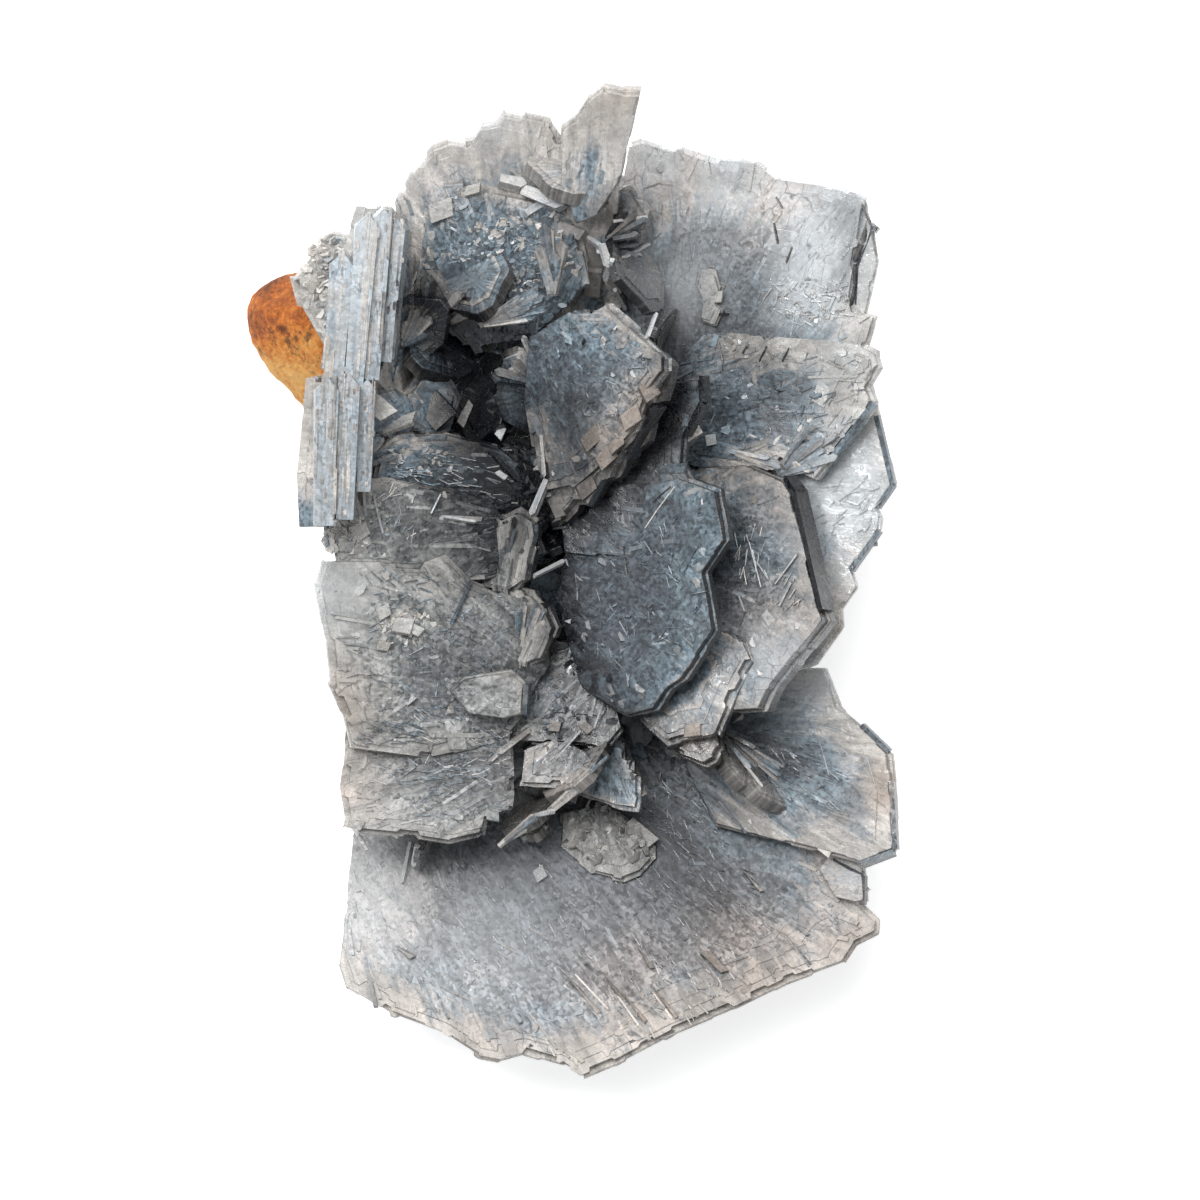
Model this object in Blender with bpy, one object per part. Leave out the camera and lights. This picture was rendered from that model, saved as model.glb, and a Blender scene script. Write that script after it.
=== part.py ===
"""Barite specimen: a rosette of thin tabular barite blades on a lump of iron-stained host rock.

The specimen lies on its back. +Z points up out of the rosette, +Y is the long way of the specimen,
and the origin is on the resting plane below the middle of its bounding box.
Sizes are in millimetres in the tables below and become metres in the meshes.
"""

import math
import random

import bmesh
import bpy
from mathutils import Matrix, Vector

MM = 0.001

# Driving dimensions, in millimetres.
LEDGE = 0.5  # how far a blade's upper growth layer stands above its rim
ROCK_GAP = 0.3  # clearance between the crystals and the rock that they grew on
PRISM_ANGLE = math.radians(78.3)  # between the prism faces of a barite tablet
STEP_RUN = (2.6, 5.2)  # how far the steps of a growth rim run along it
STEPPED_UP_TO = 9.0  # longer runs are the buried sides of a blade, which stay plain
STEP_DEPTH = 0.45  # and how far they jut out of it or stay behind it
FLATNESS = math.radians(0.5)  # faces that meet flatter than this count as one
FLOOR_BLOCK = 200.0  # side of the block that cuts the specimen off flat

# Outlines are as seen by an eye straight above the specimen. What stands higher is nearer to the
# eye, so it is really a little smaller and nearer to the line of sight than its outline.
EYE = Vector((2.7, -1.4, 900.0))

# Every blade of the face: a point of its plane, the plane's rise per millimetre towards +X and +Y,
# its thickness, and its outline as seen from above.
BLADES = {
    "lower_fan": ((0.0, -35.0, 12.5), (0.05, -0.20), 1.6, [
        (-22.1, -25.0), (-22.9, -32.8), (-23.5, -37.7), (-22.7, -40.2), (-18.4, -42.8), (-13.1, -44.8),
        (-9.5, -47.1), (-7.4, -47.5), (-4.9, -46.8), (-1.1, -47.9), (1.0, -49.2), (4.3, -47.8),
        (10.2, -44.7), (16.2, -42.2), (21.5, -39.6), (27.2, -37.5), (28.4, -35.7), (30.6, -34.6),
        (30.7, -33.2), (28.4, -31.0), (26.0, -24.0), (13.0, -10.0), (-1.3, -10.0), (-20.0, -18.0)]),
    "lower_right": ((25.0, -18.0, 15.5), (0.28, -0.05), 1.5, [
        (11.0, -18.0), (15.0, -8.0), (25.1, -8.0), (26.6, -12.1), (28.8, -13.9), (31.7, -16.6),
        (32.0, -19.5), (32.3, -25.2), (32.1, -26.5), (28.8, -27.8), (22.7, -26.2), (14.0, -24.0)]),
    "window_tab": ((28.0, -30.0, 14.6), (0.20, 0.0), 1.2, [
        (26.0, -26.0), (29.1, -28.0), (29.4, -31.6), (28.6, -31.8), (26.2, -31.2), (24.5, -28.2)]),
    "upper_right": ((18.0, 34.0, 15.5), (0.22, 0.10), 1.5, [
        (5.5, 44.3), (6.6, 44.7), (10.0, 43.6), (10.9, 43.9), (14.6, 42.8), (18.3, 42.5),
        (20.3, 40.9), (25.2, 40.2), (29.3, 38.8), (28.6, 34.0), (27.8, 29.0), (28.2, 27.4),
        (30.3, 26.9), (28.8, 22.0), (22.0, 14.0), (6.0, 12.0), (0.0, 24.0), (3.0, 33.0),
        (4.5, 39.8)]),
    "clear_sliver": ((28.0, 34.0, 16.9), (0.22, 0.10), 0.9, [
        (27.6, 39.4), (29.2, 38.6), (30.0, 36.1), (30.6, 32.4), (29.3, 27.0), (24.0, 26.0),
        (24.0, 35.0)]),
    "right_window": ((24.0, 4.0, 17.5), (0.28, 0.0), 1.2, [
        (28.8, 24.0), (30.5, 17.0), (32.2, 10.2), (30.4, 7.9), (30.8, 7.1), (30.6, 5.6), (27.8, 1.6),
        (28.4, -0.2), (26.8, -2.5), (26.9, -4.1), (24.2, -7.9), (14.0, -12.0), (8.0, -4.0),
        (8.0, 14.0), (14.0, 24.0)]),
    "right_upper": ((22.0, 18.0, 19.0), (0.42, -0.05), 1.4, [
        (28.8, 24.3), (30.2, 23.6), (30.6, 22.1), (29.5, 20.3), (30.2, 18.6), (29.7, 17.6),
        (24.2, 10.6), (20.5, 12.2), (16.0, 10.0), (9.0, 12.0), (7.0, 19.0), (13.0, 25.6),
        (20.0, 25.0)]),
    "thick_right": ((19.0, 0.0, 22.5), (0.50, -0.10), 2.8, [
        (17.2, 12.3), (21.2, 10.6), (22.0, 9.2), (23.2, 4.0), (24.6, -2.0), (25.2, -3.4),
        (19.9, -10.0), (18.8, -12.5), (16.1, -12.7), (8.0, -12.0), (8.0, 6.0), (12.0, 12.0)]),
    "stepped_right": ((12.0, -11.0, 22.0), (0.35, -0.20), 1.5, [
        (14.1, -4.1), (15.5, -4.3), (17.1, -5.4), (18.0, -7.3), (16.3, -10.4), (14.4, -15.0),
        (10.7, -15.7), (9.4, -16.1), (7.7, -14.6), (5.0, -12.0), (8.0, -7.0)]),
    "right_knob": ((12.5, -16.0, 20.8), (0.20, -0.20), 2.4, [
        (11.7, -13.0), (14.4, -14.0), (14.9, -16.2), (14.4, -17.3), (13.2, -18.0), (10.9, -17.1),
        (9.4, -16.1), (9.0, -13.6)]),
    "middle_right": ((8.0, 0.0, 23.5), (0.60, -0.05), 1.6, [
        (10.7, 11.1), (14.3, 9.8), (15.2, 4.6), (13.0, 1.4), (13.3, 0.1), (14.1, -4.4), (11.0, -9.4),
        (9.5, -10.4), (8.2, -12.4), (5.2, -13.2), (3.7, -12.4), (0.7, -10.4), (-1.3, -3.4),
        (-1.3, 2.6), (3.0, 9.0)]),
    "shadowed_right": ((6.0, 12.0, 22.0), (0.40, 0.0), 1.4, [
        (12.8, 21.0), (13.0, 18.5), (11.2, 15.1), (11.0, 12.1), (13.0, 9.0), (8.0, 2.0), (-1.0, 3.0),
        (-2.0, 12.0), (4.0, 20.0)]),
    "crest": ((4.0, 18.0, 27.5), (0.70, 0.05), 1.2, [
        (3.4, 28.3), (9.1, 22.9), (9.1, 21.4), (7.6, 19.4), (6.2, 15.4), (3.0, 12.0), (0.2, 9.6),
        (-2.6, 9.0), (-3.6, 18.0), (-2.8, 24.6)]),
    "crest_base": ((4.0, 18.0, 26.2), (0.66, 0.04), 2.2, [
        (3.4, 27.6), (9.3, 22.2), (9.0, 20.2), (8.4, 18.4), (7.6, 17.9), (6.9, 14.4), (5.4, 13.2),
        (4.2, 10.8), (2.8, 10.2), (1.4, 7.6), (0.0, 7.6), (-1.7, 5.8), (-3.6, 10.0), (-5.0, 18.6),
        (-4.4, 25.2), (-0.3, 27.6)]),
    "top_spire": ((3.0, 43.0, 26.5), (0.10, 0.45), 1.7, [
        (-1.3, 45.6), (0.2, 46.6), (1.5, 48.6), (3.0, 49.8), (4.9, 49.4), (6.8, 49.3), (5.7, 44.6),
        (4.7, 40.1), (2.7, 37.1), (0.2, 36.0), (-1.3, 40.0)]),
    "upper_left": ((-9.0, 40.0, 20.5), (-0.05, 0.35), 1.6, [
        (-17.8, 38.1), (-16.3, 41.1), (-14.3, 43.6), (-12.5, 44.3), (-10.5, 44.0), (-9.3, 45.8),
        (-7.6, 46.1), (-6.8, 47.4), (-2.1, 46.4), (-0.8, 44.6), (0.5, 38.0), (-5.3, 30.0),
        (-14.3, 28.0), (-17.3, 34.6)]),
    "upper_middle": ((-7.0, 32.0, 19.5), (0.0, 0.30), 2.2, [
        (-14.5, 38.5), (-13.3, 40.3), (-11.0, 40.5), (-8.0, 39.8), (-3.3, 38.8), (0.2, 37.8),
        (2.0, 30.0), (-3.8, 24.6), (-11.3, 23.6), (-16.3, 28.6)]),
    "left_lobes": ((-23.0, 31.0, 18.0), (-0.05, 0.25), 2.2, [
        (-18.0, 37.8), (-19.8, 37.9), (-21.1, 37.1), (-22.1, 34.8), (-24.0, 35.1), (-25.8, 34.1),
        (-26.8, 32.4), (-28.3, 30.6), (-27.5, 27.6), (-24.3, 22.0), (-16.0, 21.0), (-12.5, 31.0)]),
    "left_wall": ((-20.0, 30.0, 24.0), (-1.50, 0.10), 2.2, [
        (-19.8, 38.0), (-17.0, 37.6), (-14.6, 33.0), (-14.8, 26.0), (-17.5, 21.6), (-23.3, 21.4),
        (-22.6, 27.0), (-21.3, 33.0)]),
    "left_wall_low": ((-23.5, 14.0, 22.0), (-1.60, 0.05), 2.0, [
        (-24.9, 20.8), (-23.0, 21.2), (-20.6, 20.4), (-19.6, 15.0), (-21.0, 9.0), (-22.6, 6.0),
        (-25.6, 5.8), (-25.8, 11.0), (-25.3, 17.0)]),
    "left_bank": ((-12.0, 11.0, 20.5), (-0.15, 0.30), 1.6, [
        (-19.3, 13.6), (-17.3, 14.9), (-12.8, 15.2), (-7.3, 13.9), (-5.8, 12.6), (-4.9, 10.8),
        (-5.3, 6.0), (-14.3, 3.6), (-21.0, 6.0)]),
    "left_bank_low": ((-14.0, 6.0, 22.0), (-0.15, 0.10), 1.7, [
        (-22.8, 10.6), (-19.3, 11.0), (-12.3, 9.8), (-8.3, 8.6), (-5.8, 5.6), (-6.3, 1.0),
        (-12.3, -1.0), (-23.3, -1.0), (-24.3, 5.6)]),
    "left_lobe": ((-14.0, -6.0, 22.5), (-0.22, 0.12), 1.9, [
        (-24.8, 2.6), (-25.6, 0.1), (-24.6, -5.4), (-24.1, -10.4), (-22.8, -13.4), (-22.1, -16.4),
        (-14.3, -17.4), (-7.3, -15.9), (-4.8, -12.9), (-2.0, -7.4), (-3.0, -2.0), (-7.3, -0.4),
        (-10.2, 0.8), (-12.8, 3.4), (-15.3, 2.4), (-19.3, 2.6)]),
    "left_foot": ((-15.0, -20.0, 20.5), (-0.05, -0.10), 1.9, [
        (-23.0, -17.9), (-23.3, -19.9), (-22.8, -22.9), (-23.1, -24.2), (-21.5, -24.6),
        (-15.5, -25.2), (-12.3, -25.7), (-8.8, -24.9), (-8.4, -23.1), (-5.9, -22.2), (-5.7, -20.4),
        (-6.0, -13.0), (-14.3, -11.0), (-22.6, -13.0)]),
    "perched_tablet": ((-8.5, -11.0, 23.2), (-0.10, 0.16), 1.3, [
        (-12.3, -10.6), (-10.8, -9.2), (-6.0, -8.5), (-4.6, -9.8), (-4.9, -12.9), (-6.6, -13.4),
        (-10.3, -12.9)]),
    "centre_leaf": ((-6.0, 3.0, 21.8), (0.70, 0.15), 1.5, [
        (-9.0, 6.4), (-5.8, 8.0), (-3.9, 6.7), (-3.7, 5.2), (-4.8, 0.4), (-6.6, -0.8),
        (-10.0, 0.0)]),
    "centre_leaf_low": ((-4.4, -4.0, 21.2), (0.60, 0.0), 1.5, [
        (-6.4, 0.2), (-4.2, -0.3), (-2.7, -1.9), (-1.8, -4.0), (-3.2, -7.4), (-6.0, -8.6),
        (-8.0, -5.2)]),
    "middle_floor": ((0.0, -11.0, 18.2), (0.10, -0.10), 1.6, [
        (-5.0, -4.6), (-1.3, -5.4), (4.0, -10.6), (5.0, -14.4), (3.4, -16.4), (-7.0, -15.6),
        (-7.6, -9.0)]),
    "brown_oval": ((-1.6, -17.4, 19.6), (0.15, -0.10), 1.4, [
        (-5.2, -16.4), (-2.7, -15.5), (-0.4, -15.6), (1.6, -16.8), (2.7, -18.6), (-0.2, -20.2),
        (-5.6, -20.0)]),
    "stair_tablet": ((5.0, -19.0, 17.6), (0.35, -0.10), 1.2, [
        (2.6, -15.2), (5.0, -15.4), (5.0, -17.3), (6.0, -17.5), (6.0, -18.7), (6.7, -18.9),
        (6.7, -21.3), (6.4, -22.6), (4.6, -22.4), (0.0, -20.7)]),
    "druse_tab": ((3.0, -26.0, 12.4), (0.05, -0.16), 1.5, [
        (-1.4, -22.6), (2.6, -21.6), (4.6, -22.4), (7.0, -24.3), (8.3, -25.3), (8.3, -27.3),
        (7.0, -28.8), (5.0, -29.6), (2.0, -28.9), (-1.5, -26.0)]),
    "hidden_hexagon": ((-18.6, 17.2, 21.6), (-0.30, 0.20), 1.3, [
        (-21.1, 19.0), (-17.8, 19.8), (-15.9, 18.5), (-15.7, 15.8), (-17.5, 14.2), (-20.9, 15.7)]),
    "dark_block": ((5.2, 36.0, 20.5), (0.30, 0.20), 2.0, [
        (2.6, 39.2), (5.7, 40.0), (7.5, 37.3), (6.9, 34.2), (4.7, 32.0), (1.8, 33.8)]),
    "recess_floor": ((-9.0, 20.0, 13.4), (-0.05, 0.10), 1.6, [
        (-15.0, 27.0), (-6.0, 29.0), (-2.0, 22.0), (-2.0, 9.0), (-10.0, 9.0), (-15.0, 18.0)]),
    "bank_step": ((-15.0, 18.0, 19.2), (-0.20, 0.25), 1.4, [
        (-18.4, 15.4), (-16.6, 19.4), (-14.4, 22.6), (-12.6, 21.8), (-11.0, 19.2), (-12.4, 15.0)]),
    "pale_patch": ((13.6, 29.0, 15.3), (0.22, 0.12), 0.9, [
        (12.7, 31.8), (14.2, 31.6), (14.7, 29.8), (14.3, 28.3), (15.1, 27.6), (14.3, 25.8),
        (12.7, 26.3), (13.0, 28.8), (12.3, 30.3)]),
}

# Blades that carry a second growth layer: how much smaller it is, and which way it is shifted.
LAYERED = {
    "lower_fan": (0.84, (-1.5, 2.5)), "lower_right": (0.78, (-1.8, 0.6)),
    "upper_right": (0.82, (-1.8, -1.2)), "right_window": (0.72, (-3.4, 0.4)),
    "right_upper": (0.76, (-1.8, 0.3)), "thick_right": (0.80, (-1.2, 0.6)),
    "stepped_right": (0.70, (-0.8, 0.9)), "middle_right": (0.80, (-1.2, 0.8)),
    "top_spire": (0.70, (0.2, -1.2)), "upper_left": (0.76, (0.6, -1.4)),
    "left_lobes": (0.66, (0.8, 0.3)), "left_bank_low": (0.74, (-0.6, 0.0)),
    "left_lobe": (0.80, (-0.2, 0.4)), "left_foot": (0.76, (-0.3, 0.7)),
}

# Tablets that stand on edge: the middle of the upper edge, the way that edge runs, the way the
# face looks, and length, depth and thickness.
STANDING = [
    ((1.1, -19.8, 22.2), (0.64, 0.55, 0.06), (-0.60, 0.66, 0.30), 8.2, 9.0, 1.0),
    ((-4.2, -24.0, 17.4), (0.87, 0.50, 0.08), (-0.48, 0.84, 0.20), 6.0, 8.0, 1.0),
    ((-3.6, -25.2, 15.2), (0.88, 0.46, 0.05), (-0.45, 0.85, 0.25), 3.2, 6.0, 0.9),
    ((-15.6, -26.8, 16.0), (0.25, 0.95, 0.10), (0.95, -0.25, 0.10), 4.2, 9.0, 0.6),
    ((4.0, 31.4, 25.5), (0.42, -0.90, 0.10), (0.85, 0.40, 0.30), 9.0, 14.0, 0.9),
    ((-1.0, 38.9, 25.0), (0.94, -0.28, 0.10), (0.20, 0.80, 0.55), 9.5, 8.0, 1.4),
    ((15.6, -19.2, 18.2), (0.64, -0.74, 0.05), (0.70, 0.62, 0.35), 8.4, 9.0, 1.2),
    ((17.8, -20.8, 17.4), (0.66, -0.72, 0.05), (0.66, 0.60, 0.40), 6.6, 8.0, 1.2),
    ((-2.5, 9.6, 22.0), (0.12, -0.95, 0.20), (0.98, 0.12, 0.10), 6.0, 10.0, 0.7),
    ((-3.6, 6.4, 22.6), (0.46, 0.86, 0.20), (0.88, -0.46, 0.10), 4.6, 9.0, 0.8),
    ((-1.6, 3.4, 18.2), (0.90, 0.40, 0.10), (-0.30, 0.70, 0.60), 5.4, 9.0, 0.9),
    ((8.0, 25.4, 18.0), (0.40, 0.90, 0.10), (0.90, -0.40, 0.20), 5.6, 9.0, 0.8),
    ((-8.5, 27.2, 22.5), (0.80, 0.45, 0.10), (-0.40, 0.50, 0.75), 8.0, 9.0, 1.5),
    ((-6.2, 23.4, 20.5), (0.86, 0.30, 0.10), (0.10, -0.50, 0.85), 6.5, 10.0, 1.5),
    ((-16.0, 22.0, 21.0), (0.60, -0.70, 0.10), (0.50, 0.60, 0.60), 7.5, 9.0, 1.4),
    ((-12.6, 28.2, 21.6), (-0.60, 0.75, 0.10), (-0.30, -0.30, 0.90), 6.0, 8.0, 1.3),
    ((-12.6, 19.0, 18.5), (0.30, 0.90, 0.20), (0.80, -0.20, 0.55), 9.0, 11.0, 1.6),
    ((-6.4, 17.0, 17.0), (0.20, 0.95, 0.00), (-0.70, 0.20, 0.65), 9.0, 11.0, 1.6),
]

# Every blade of the face stands on keels, which are blades on edge that grew up out of the foot.
KEEL_DRAWN_IN = 0.5  # a keel's root is this share of its blade's distance from the middle line
KEEL_ROOT_HEIGHT = 4.0
KEEL_ROOT_WIDTH = 9.0
KEEL_SHARE = 0.72  # of its blade's breadth
KEEL_THICKNESS = 1.7
ONE_KEEL_BREADTH = 14.0  # a blade narrower than this stands on one keel, and a broader one on two
KEEL_SINK = 1.0  # how deep a keel's upper edge lies below the face of the blade that it carries

# The two lumps: the intergrown mass that the blades spring from, and the rock.
FOOT_MIDDLE = Vector((0.5, -1.0, 6.0))
FOOT_REACH = Vector((13.5, 25.0, 8.5))
FOOT_TURN = 0.0
FOOT_SEED = 3
FOOT_BREAKS = 16  # flat breaks around the lump

ROCK_MIDDLE = Vector((-17.0, 21.0, 4.6))
ROCK_REACH = Vector((14.6, 10.0, 8.6))
ROCK_TURN = math.radians(-28.0)
ROCK_SEED = 11
ROCK_BREAKS = 7

BREAK_DEPTH = (0.74, 0.96)  # where the flat breaks of a lump lie, as a share of its reach
SWELLS = 14  # broad swellings and hollows of a lump
SWELL_DEPTH = 0.30  # the deepest of them, as a share of its reach


def clear_scene():
    for found in list(bpy.data.objects):
        bpy.data.objects.remove(found)


def collection(name):
    made = bpy.data.collections.new(name)
    bpy.context.scene.collection.children.link(made)
    return made


def material(name, colour, roughness):
    made = bpy.data.materials.new(name)
    made.use_nodes = True
    shader = made.node_tree.nodes["Principled BSDF"]
    shader.inputs["Base Color"].default_value = (*colour, 1.0)
    shader.inputs["Roughness"].default_value = roughness
    return made


def frame_of(middle, along, normal):
    """A matrix whose Z is the normal and whose X is as near to along as that allows."""
    z = Vector(normal).normalized()
    x = Vector(along)
    x = (x - x.dot(z) * z).normalized()
    y = z.cross(x)
    turned = Matrix((x, y, z)).transposed().to_4x4()
    return Matrix.Translation(Vector(middle) * MM) @ turned


def slab(name, outline, thickness, placed, into):
    """A flat outline, in millimetres, given its thickness below the plane that it is drawn on."""
    curve = bpy.data.curves.new(name, "CURVE")
    curve.dimensions = "2D"
    curve.fill_mode = "BOTH"
    curve.extrude = thickness * MM / 2
    spline = curve.splines.new("POLY")
    spline.points.add(len(outline) - 1)
    for point, (x, y) in zip(spline.points, outline):
        point.co = (x * MM, y * MM, 0.0, 1.0)
    spline.use_cyclic_u = True
    drawn = bpy.data.objects.new(name, curve)
    into.objects.link(drawn)
    drawn.matrix_world = placed @ Matrix.Translation((0.0, 0.0, -thickness * MM / 2))
    return as_mesh(drawn, into)


def as_mesh(drawn, into):
    """The mesh of a curve object, with its caps welded on, in the curve's place."""
    bpy.context.view_layer.update()
    seen = drawn.evaluated_get(bpy.context.evaluated_depsgraph_get())
    mesh = bpy.data.meshes.new_from_object(seen)
    made = bpy.data.objects.new(drawn.name, mesh)
    into.objects.link(made)
    made.matrix_world = drawn.matrix_world
    bpy.data.objects.remove(drawn)
    edit = bmesh.new()
    edit.from_mesh(mesh)
    bmesh.ops.remove_doubles(edit, verts=edit.verts, dist=1e-6)
    bmesh.ops.recalc_face_normals(edit, faces=edit.faces)
    edit.to_mesh(mesh)
    edit.free()
    return made


def sighted(x, y, height):
    """The true place of what an eye above the specimen sees at x, y, when it stands this high."""
    nearer = height / EYE.z
    return Vector((x + (EYE.x - x) * nearer, y + (EYE.y - y) * nearer, height))


def stepped(outline, draw):
    """The outline with the small square steps of a growth rim along its longer runs."""
    made = []
    for start, end in zip(outline, outline[1:] + outline[:1]):
        start, end = Vector(start), Vector(end)
        run = end - start
        made.append(start)
        if not 2 * STEP_RUN[0] < run.length < STEPPED_UP_TO:
            continue
        out = Vector((run.y, -run.x)).normalized()
        at = draw.uniform(*STEP_RUN)
        jut = 0.0
        while at < run.length - STEP_RUN[0] * 0.6:
            here = start + run * (at / run.length)
            made.append(here + out * jut)
            jut = draw.uniform(-STEP_DEPTH, STEP_DEPTH)
            made.append(here + out * jut)
            at += draw.uniform(*STEP_RUN)
    return [tuple(point) for point in made]


def face_blade(name, anchor, rise, thickness, outline, into):
    """A blade given by its outline from above, the sloping plane of its face, and its two keels."""
    draw = random.Random(name)
    middle = sighted(*anchor)
    normal = Vector((-rise[0], -rise[1], 1.0)).normalized()
    placed = frame_of(middle, (1.0, 0.0, rise[0]), normal)
    to_plane = placed.inverted()
    flat = []
    for x, y in outline:
        z = anchor[2] + rise[0] * (x - anchor[0]) + rise[1] * (y - anchor[1])
        point = to_plane @ (sighted(x, y, z) * MM) / MM
        flat.append((point.x, point.y))
    slab(name, stepped(flat, draw), thickness, placed, into)
    if name in LAYERED:
        scale, (shift_x, shift_y) = LAYERED[name]
        upper = [(x * scale + shift_x, y * scale + shift_y) for x, y in flat]
        raised = placed @ Matrix.Translation((0.0, 0.0, LEDGE * MM))
        slab(name + "_layer", stepped(upper, draw), 2 * LEDGE, raised, into)
    for turn in range(1 if breadth(flat) < ONE_KEEL_BREADTH else 2):
        keel(f"{name}_keel_{turn}", flat, placed, turn, into)


def breadth(flat):
    """The wider way across an outline."""
    return max(max(reach) - min(reach) for reach in zip(*flat))


def keel(name, flat, placed, turn, into):
    """A blade on edge, grown through the underside of a face blade and down into the foot."""
    middle = placed.translation / MM
    root = Vector((middle.x * KEEL_DRAWN_IN, middle.y * KEEL_DRAWN_IN, KEEL_ROOT_HEIGHT))
    turned = placed.to_3x3()
    outward = turned.inverted() @ (middle - root)
    ways = Vector((outward.x, outward.y)).normalized()
    if turn:
        ways = Vector((-ways.y, ways.x))
    reach = [Vector(point).dot(ways) for point in flat]
    low, high = min(reach) * KEEL_SHARE, max(reach) * KEEL_SHARE
    along = turned @ Vector((ways.x, ways.y, 0.0))
    down = root - middle
    normal = along.cross(down).normalized()
    upright = frame_of(middle, along, normal)
    foot = upright.to_3x3().inverted() @ down
    lean = abs((upright.to_3x3() @ Vector((0.0, 1.0, 0.0))).dot(turned @ Vector((0.0, 0.0, 1.0))))
    sink = math.copysign(KEEL_SINK / max(lean, 0.2), foot.y)
    foot_half = min(KEEL_ROOT_WIDTH, high - low) / 2
    outline = [
        (low, sink), (high, sink), (foot.x + foot_half, foot.y), (foot.x - foot_half, foot.y)]
    slab(name, outline, KEEL_THICKNESS, upright @ Matrix.Translation(
        (0.0, 0.0, KEEL_THICKNESS * MM / 2)), into)


def tablet_outline(length, width):
    """A barite tablet: a lozenge between its prism faces, with its sharp ends cut off."""
    half_width = width / 2
    slant = half_width / math.tan(PRISM_ANGLE / 2)
    flank = max(length / 2 - slant * 0.7, length * 0.12)
    end = half_width * 0.3
    return [
        (length / 2, end), (flank, half_width), (-flank, half_width),
        (-length / 2, end), (-length / 2, -end), (-flank, -half_width),
        (flank, -half_width), (length / 2, -end)]


def standing_tablet(name, top, along, normal, size, into):
    """A tablet hung from the middle of its upper edge."""
    length, depth, thickness = size
    upright = frame_of(top, along, normal).to_3x3() @ Vector((0.0, 1.0, 0.0))
    down = -upright if upright.z > 0 else upright
    placed = frame_of(sighted(*top) + down * depth / 2, along, normal)
    slab(name, tablet_outline(length, depth), thickness,
         placed @ Matrix.Translation((0.0, 0.0, thickness * MM / 2)), into)


def lump(name, middle, reach, turn, seed, breaks, into):
    """An uneven lump: a sphere pushed about, with flat breaks, stretched to its reach and turned."""
    draw = random.Random(seed)
    edit = bmesh.new()
    bmesh.ops.create_icosphere(edit, subdivisions=3, radius=1.0)
    swells = [
        (Vector((draw.gauss(0, 1), draw.gauss(0, 1), draw.gauss(0, 1))).normalized(),
         draw.uniform(-SWELL_DEPTH, SWELL_DEPTH)) for _ in range(SWELLS)]
    broken = [
        (Vector((draw.gauss(0, 1), draw.gauss(0, 1), draw.gauss(0, 0.6))).normalized(),
         draw.uniform(*BREAK_DEPTH)) for _ in range(breaks)]
    for vertex in edit.verts:
        direction = vertex.co.normalized()
        swell = sum(size * max(0.0, direction.dot(way)) ** 4 for way, size in swells)
        vertex.co = direction * (1.0 + swell)
        for way, depth in broken:
            vertex.co -= way * max(0.0, vertex.co.dot(way) - depth)
        vertex.co = Vector((vertex.co.x * reach.x, vertex.co.y * reach.y, vertex.co.z * reach.z))
        vertex.co.rotate(Matrix.Rotation(turn, 3, "Z"))
        vertex.co = (vertex.co + middle) * MM
    mesh = bpy.data.meshes.new(name)
    edit.to_mesh(mesh)
    edit.free()
    made = bpy.data.objects.new(name, mesh)
    into.objects.link(made)
    return made


def boolean(target, operation, operand=None, group=None):
    """Applies one Boolean to the target's own mesh."""
    step = target.modifiers.new("join", "BOOLEAN")
    step.operation = operation
    step.solver = "EXACT"
    if group is None:
        step.object = operand
    else:
        step.operand_type = "COLLECTION"
        step.collection = group
    bpy.context.view_layer.update()
    seen = target.evaluated_get(bpy.context.evaluated_depsgraph_get())
    mesh = bpy.data.meshes.new_from_object(seen)
    target.modifiers.clear()
    target.data = mesh


def keep_largest_body(target):
    """Drops the chips that a cut leaves loose, and clears the seams left on flat faces.

    Says how many bodies there were.
    """
    edit = bmesh.new()
    edit.from_mesh(target.data)
    left, bodies = set(edit.verts), []
    while left:
        todo, body = [left.pop()], set()
        while todo:
            vertex = todo.pop()
            body.add(vertex)
            for edge in vertex.link_edges:
                other = edge.other_vert(vertex)
                if other in left:
                    left.remove(other)
                    todo.append(other)
        bodies.append(body)
    bodies.sort(key=len)
    for body in bodies[:-1]:
        bmesh.ops.delete(edit, geom=list(body), context="VERTS")
    bmesh.ops.dissolve_limit(edit, angle_limit=FLATNESS, verts=edit.verts, edges=edit.edges)
    edit.to_mesh(target.data)
    edit.free()
    return len(bodies)


def below_floor(into):
    """A block whose top is the resting plane. What reaches into it is cut away flat."""
    edit = bmesh.new()
    bmesh.ops.create_cube(edit, size=FLOOR_BLOCK * MM)
    bmesh.ops.translate(edit, verts=edit.verts, vec=(0.0, 0.0, -FLOOR_BLOCK * MM / 2))
    mesh = bpy.data.meshes.new("below_floor")
    edit.to_mesh(mesh)
    edit.free()
    made = bpy.data.objects.new("below_floor", mesh)
    made.hide_render = True
    made.display_type = "WIRE"
    into.objects.link(made)
    return made


def stand_on_origin(nodes):
    """Moves the specimen sideways until the middle of its bounding box is over the origin."""
    corners = [vertex.co for made in nodes for vertex in made.data.vertices]
    aside = Vector((0.0, 0.0, 0.0))
    for axis in (0, 1):
        reach = [corner[axis] for corner in corners]
        aside[axis] = -(min(reach) + max(reach)) / 2
    for made in nodes:
        made.data.transform(Matrix.Translation(aside))
    print("moved aside by, mm:", [round(value / MM, 3) for value in aside])
    print("height, mm:", round(max(corner.z for corner in corners) / MM, 2))


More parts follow.
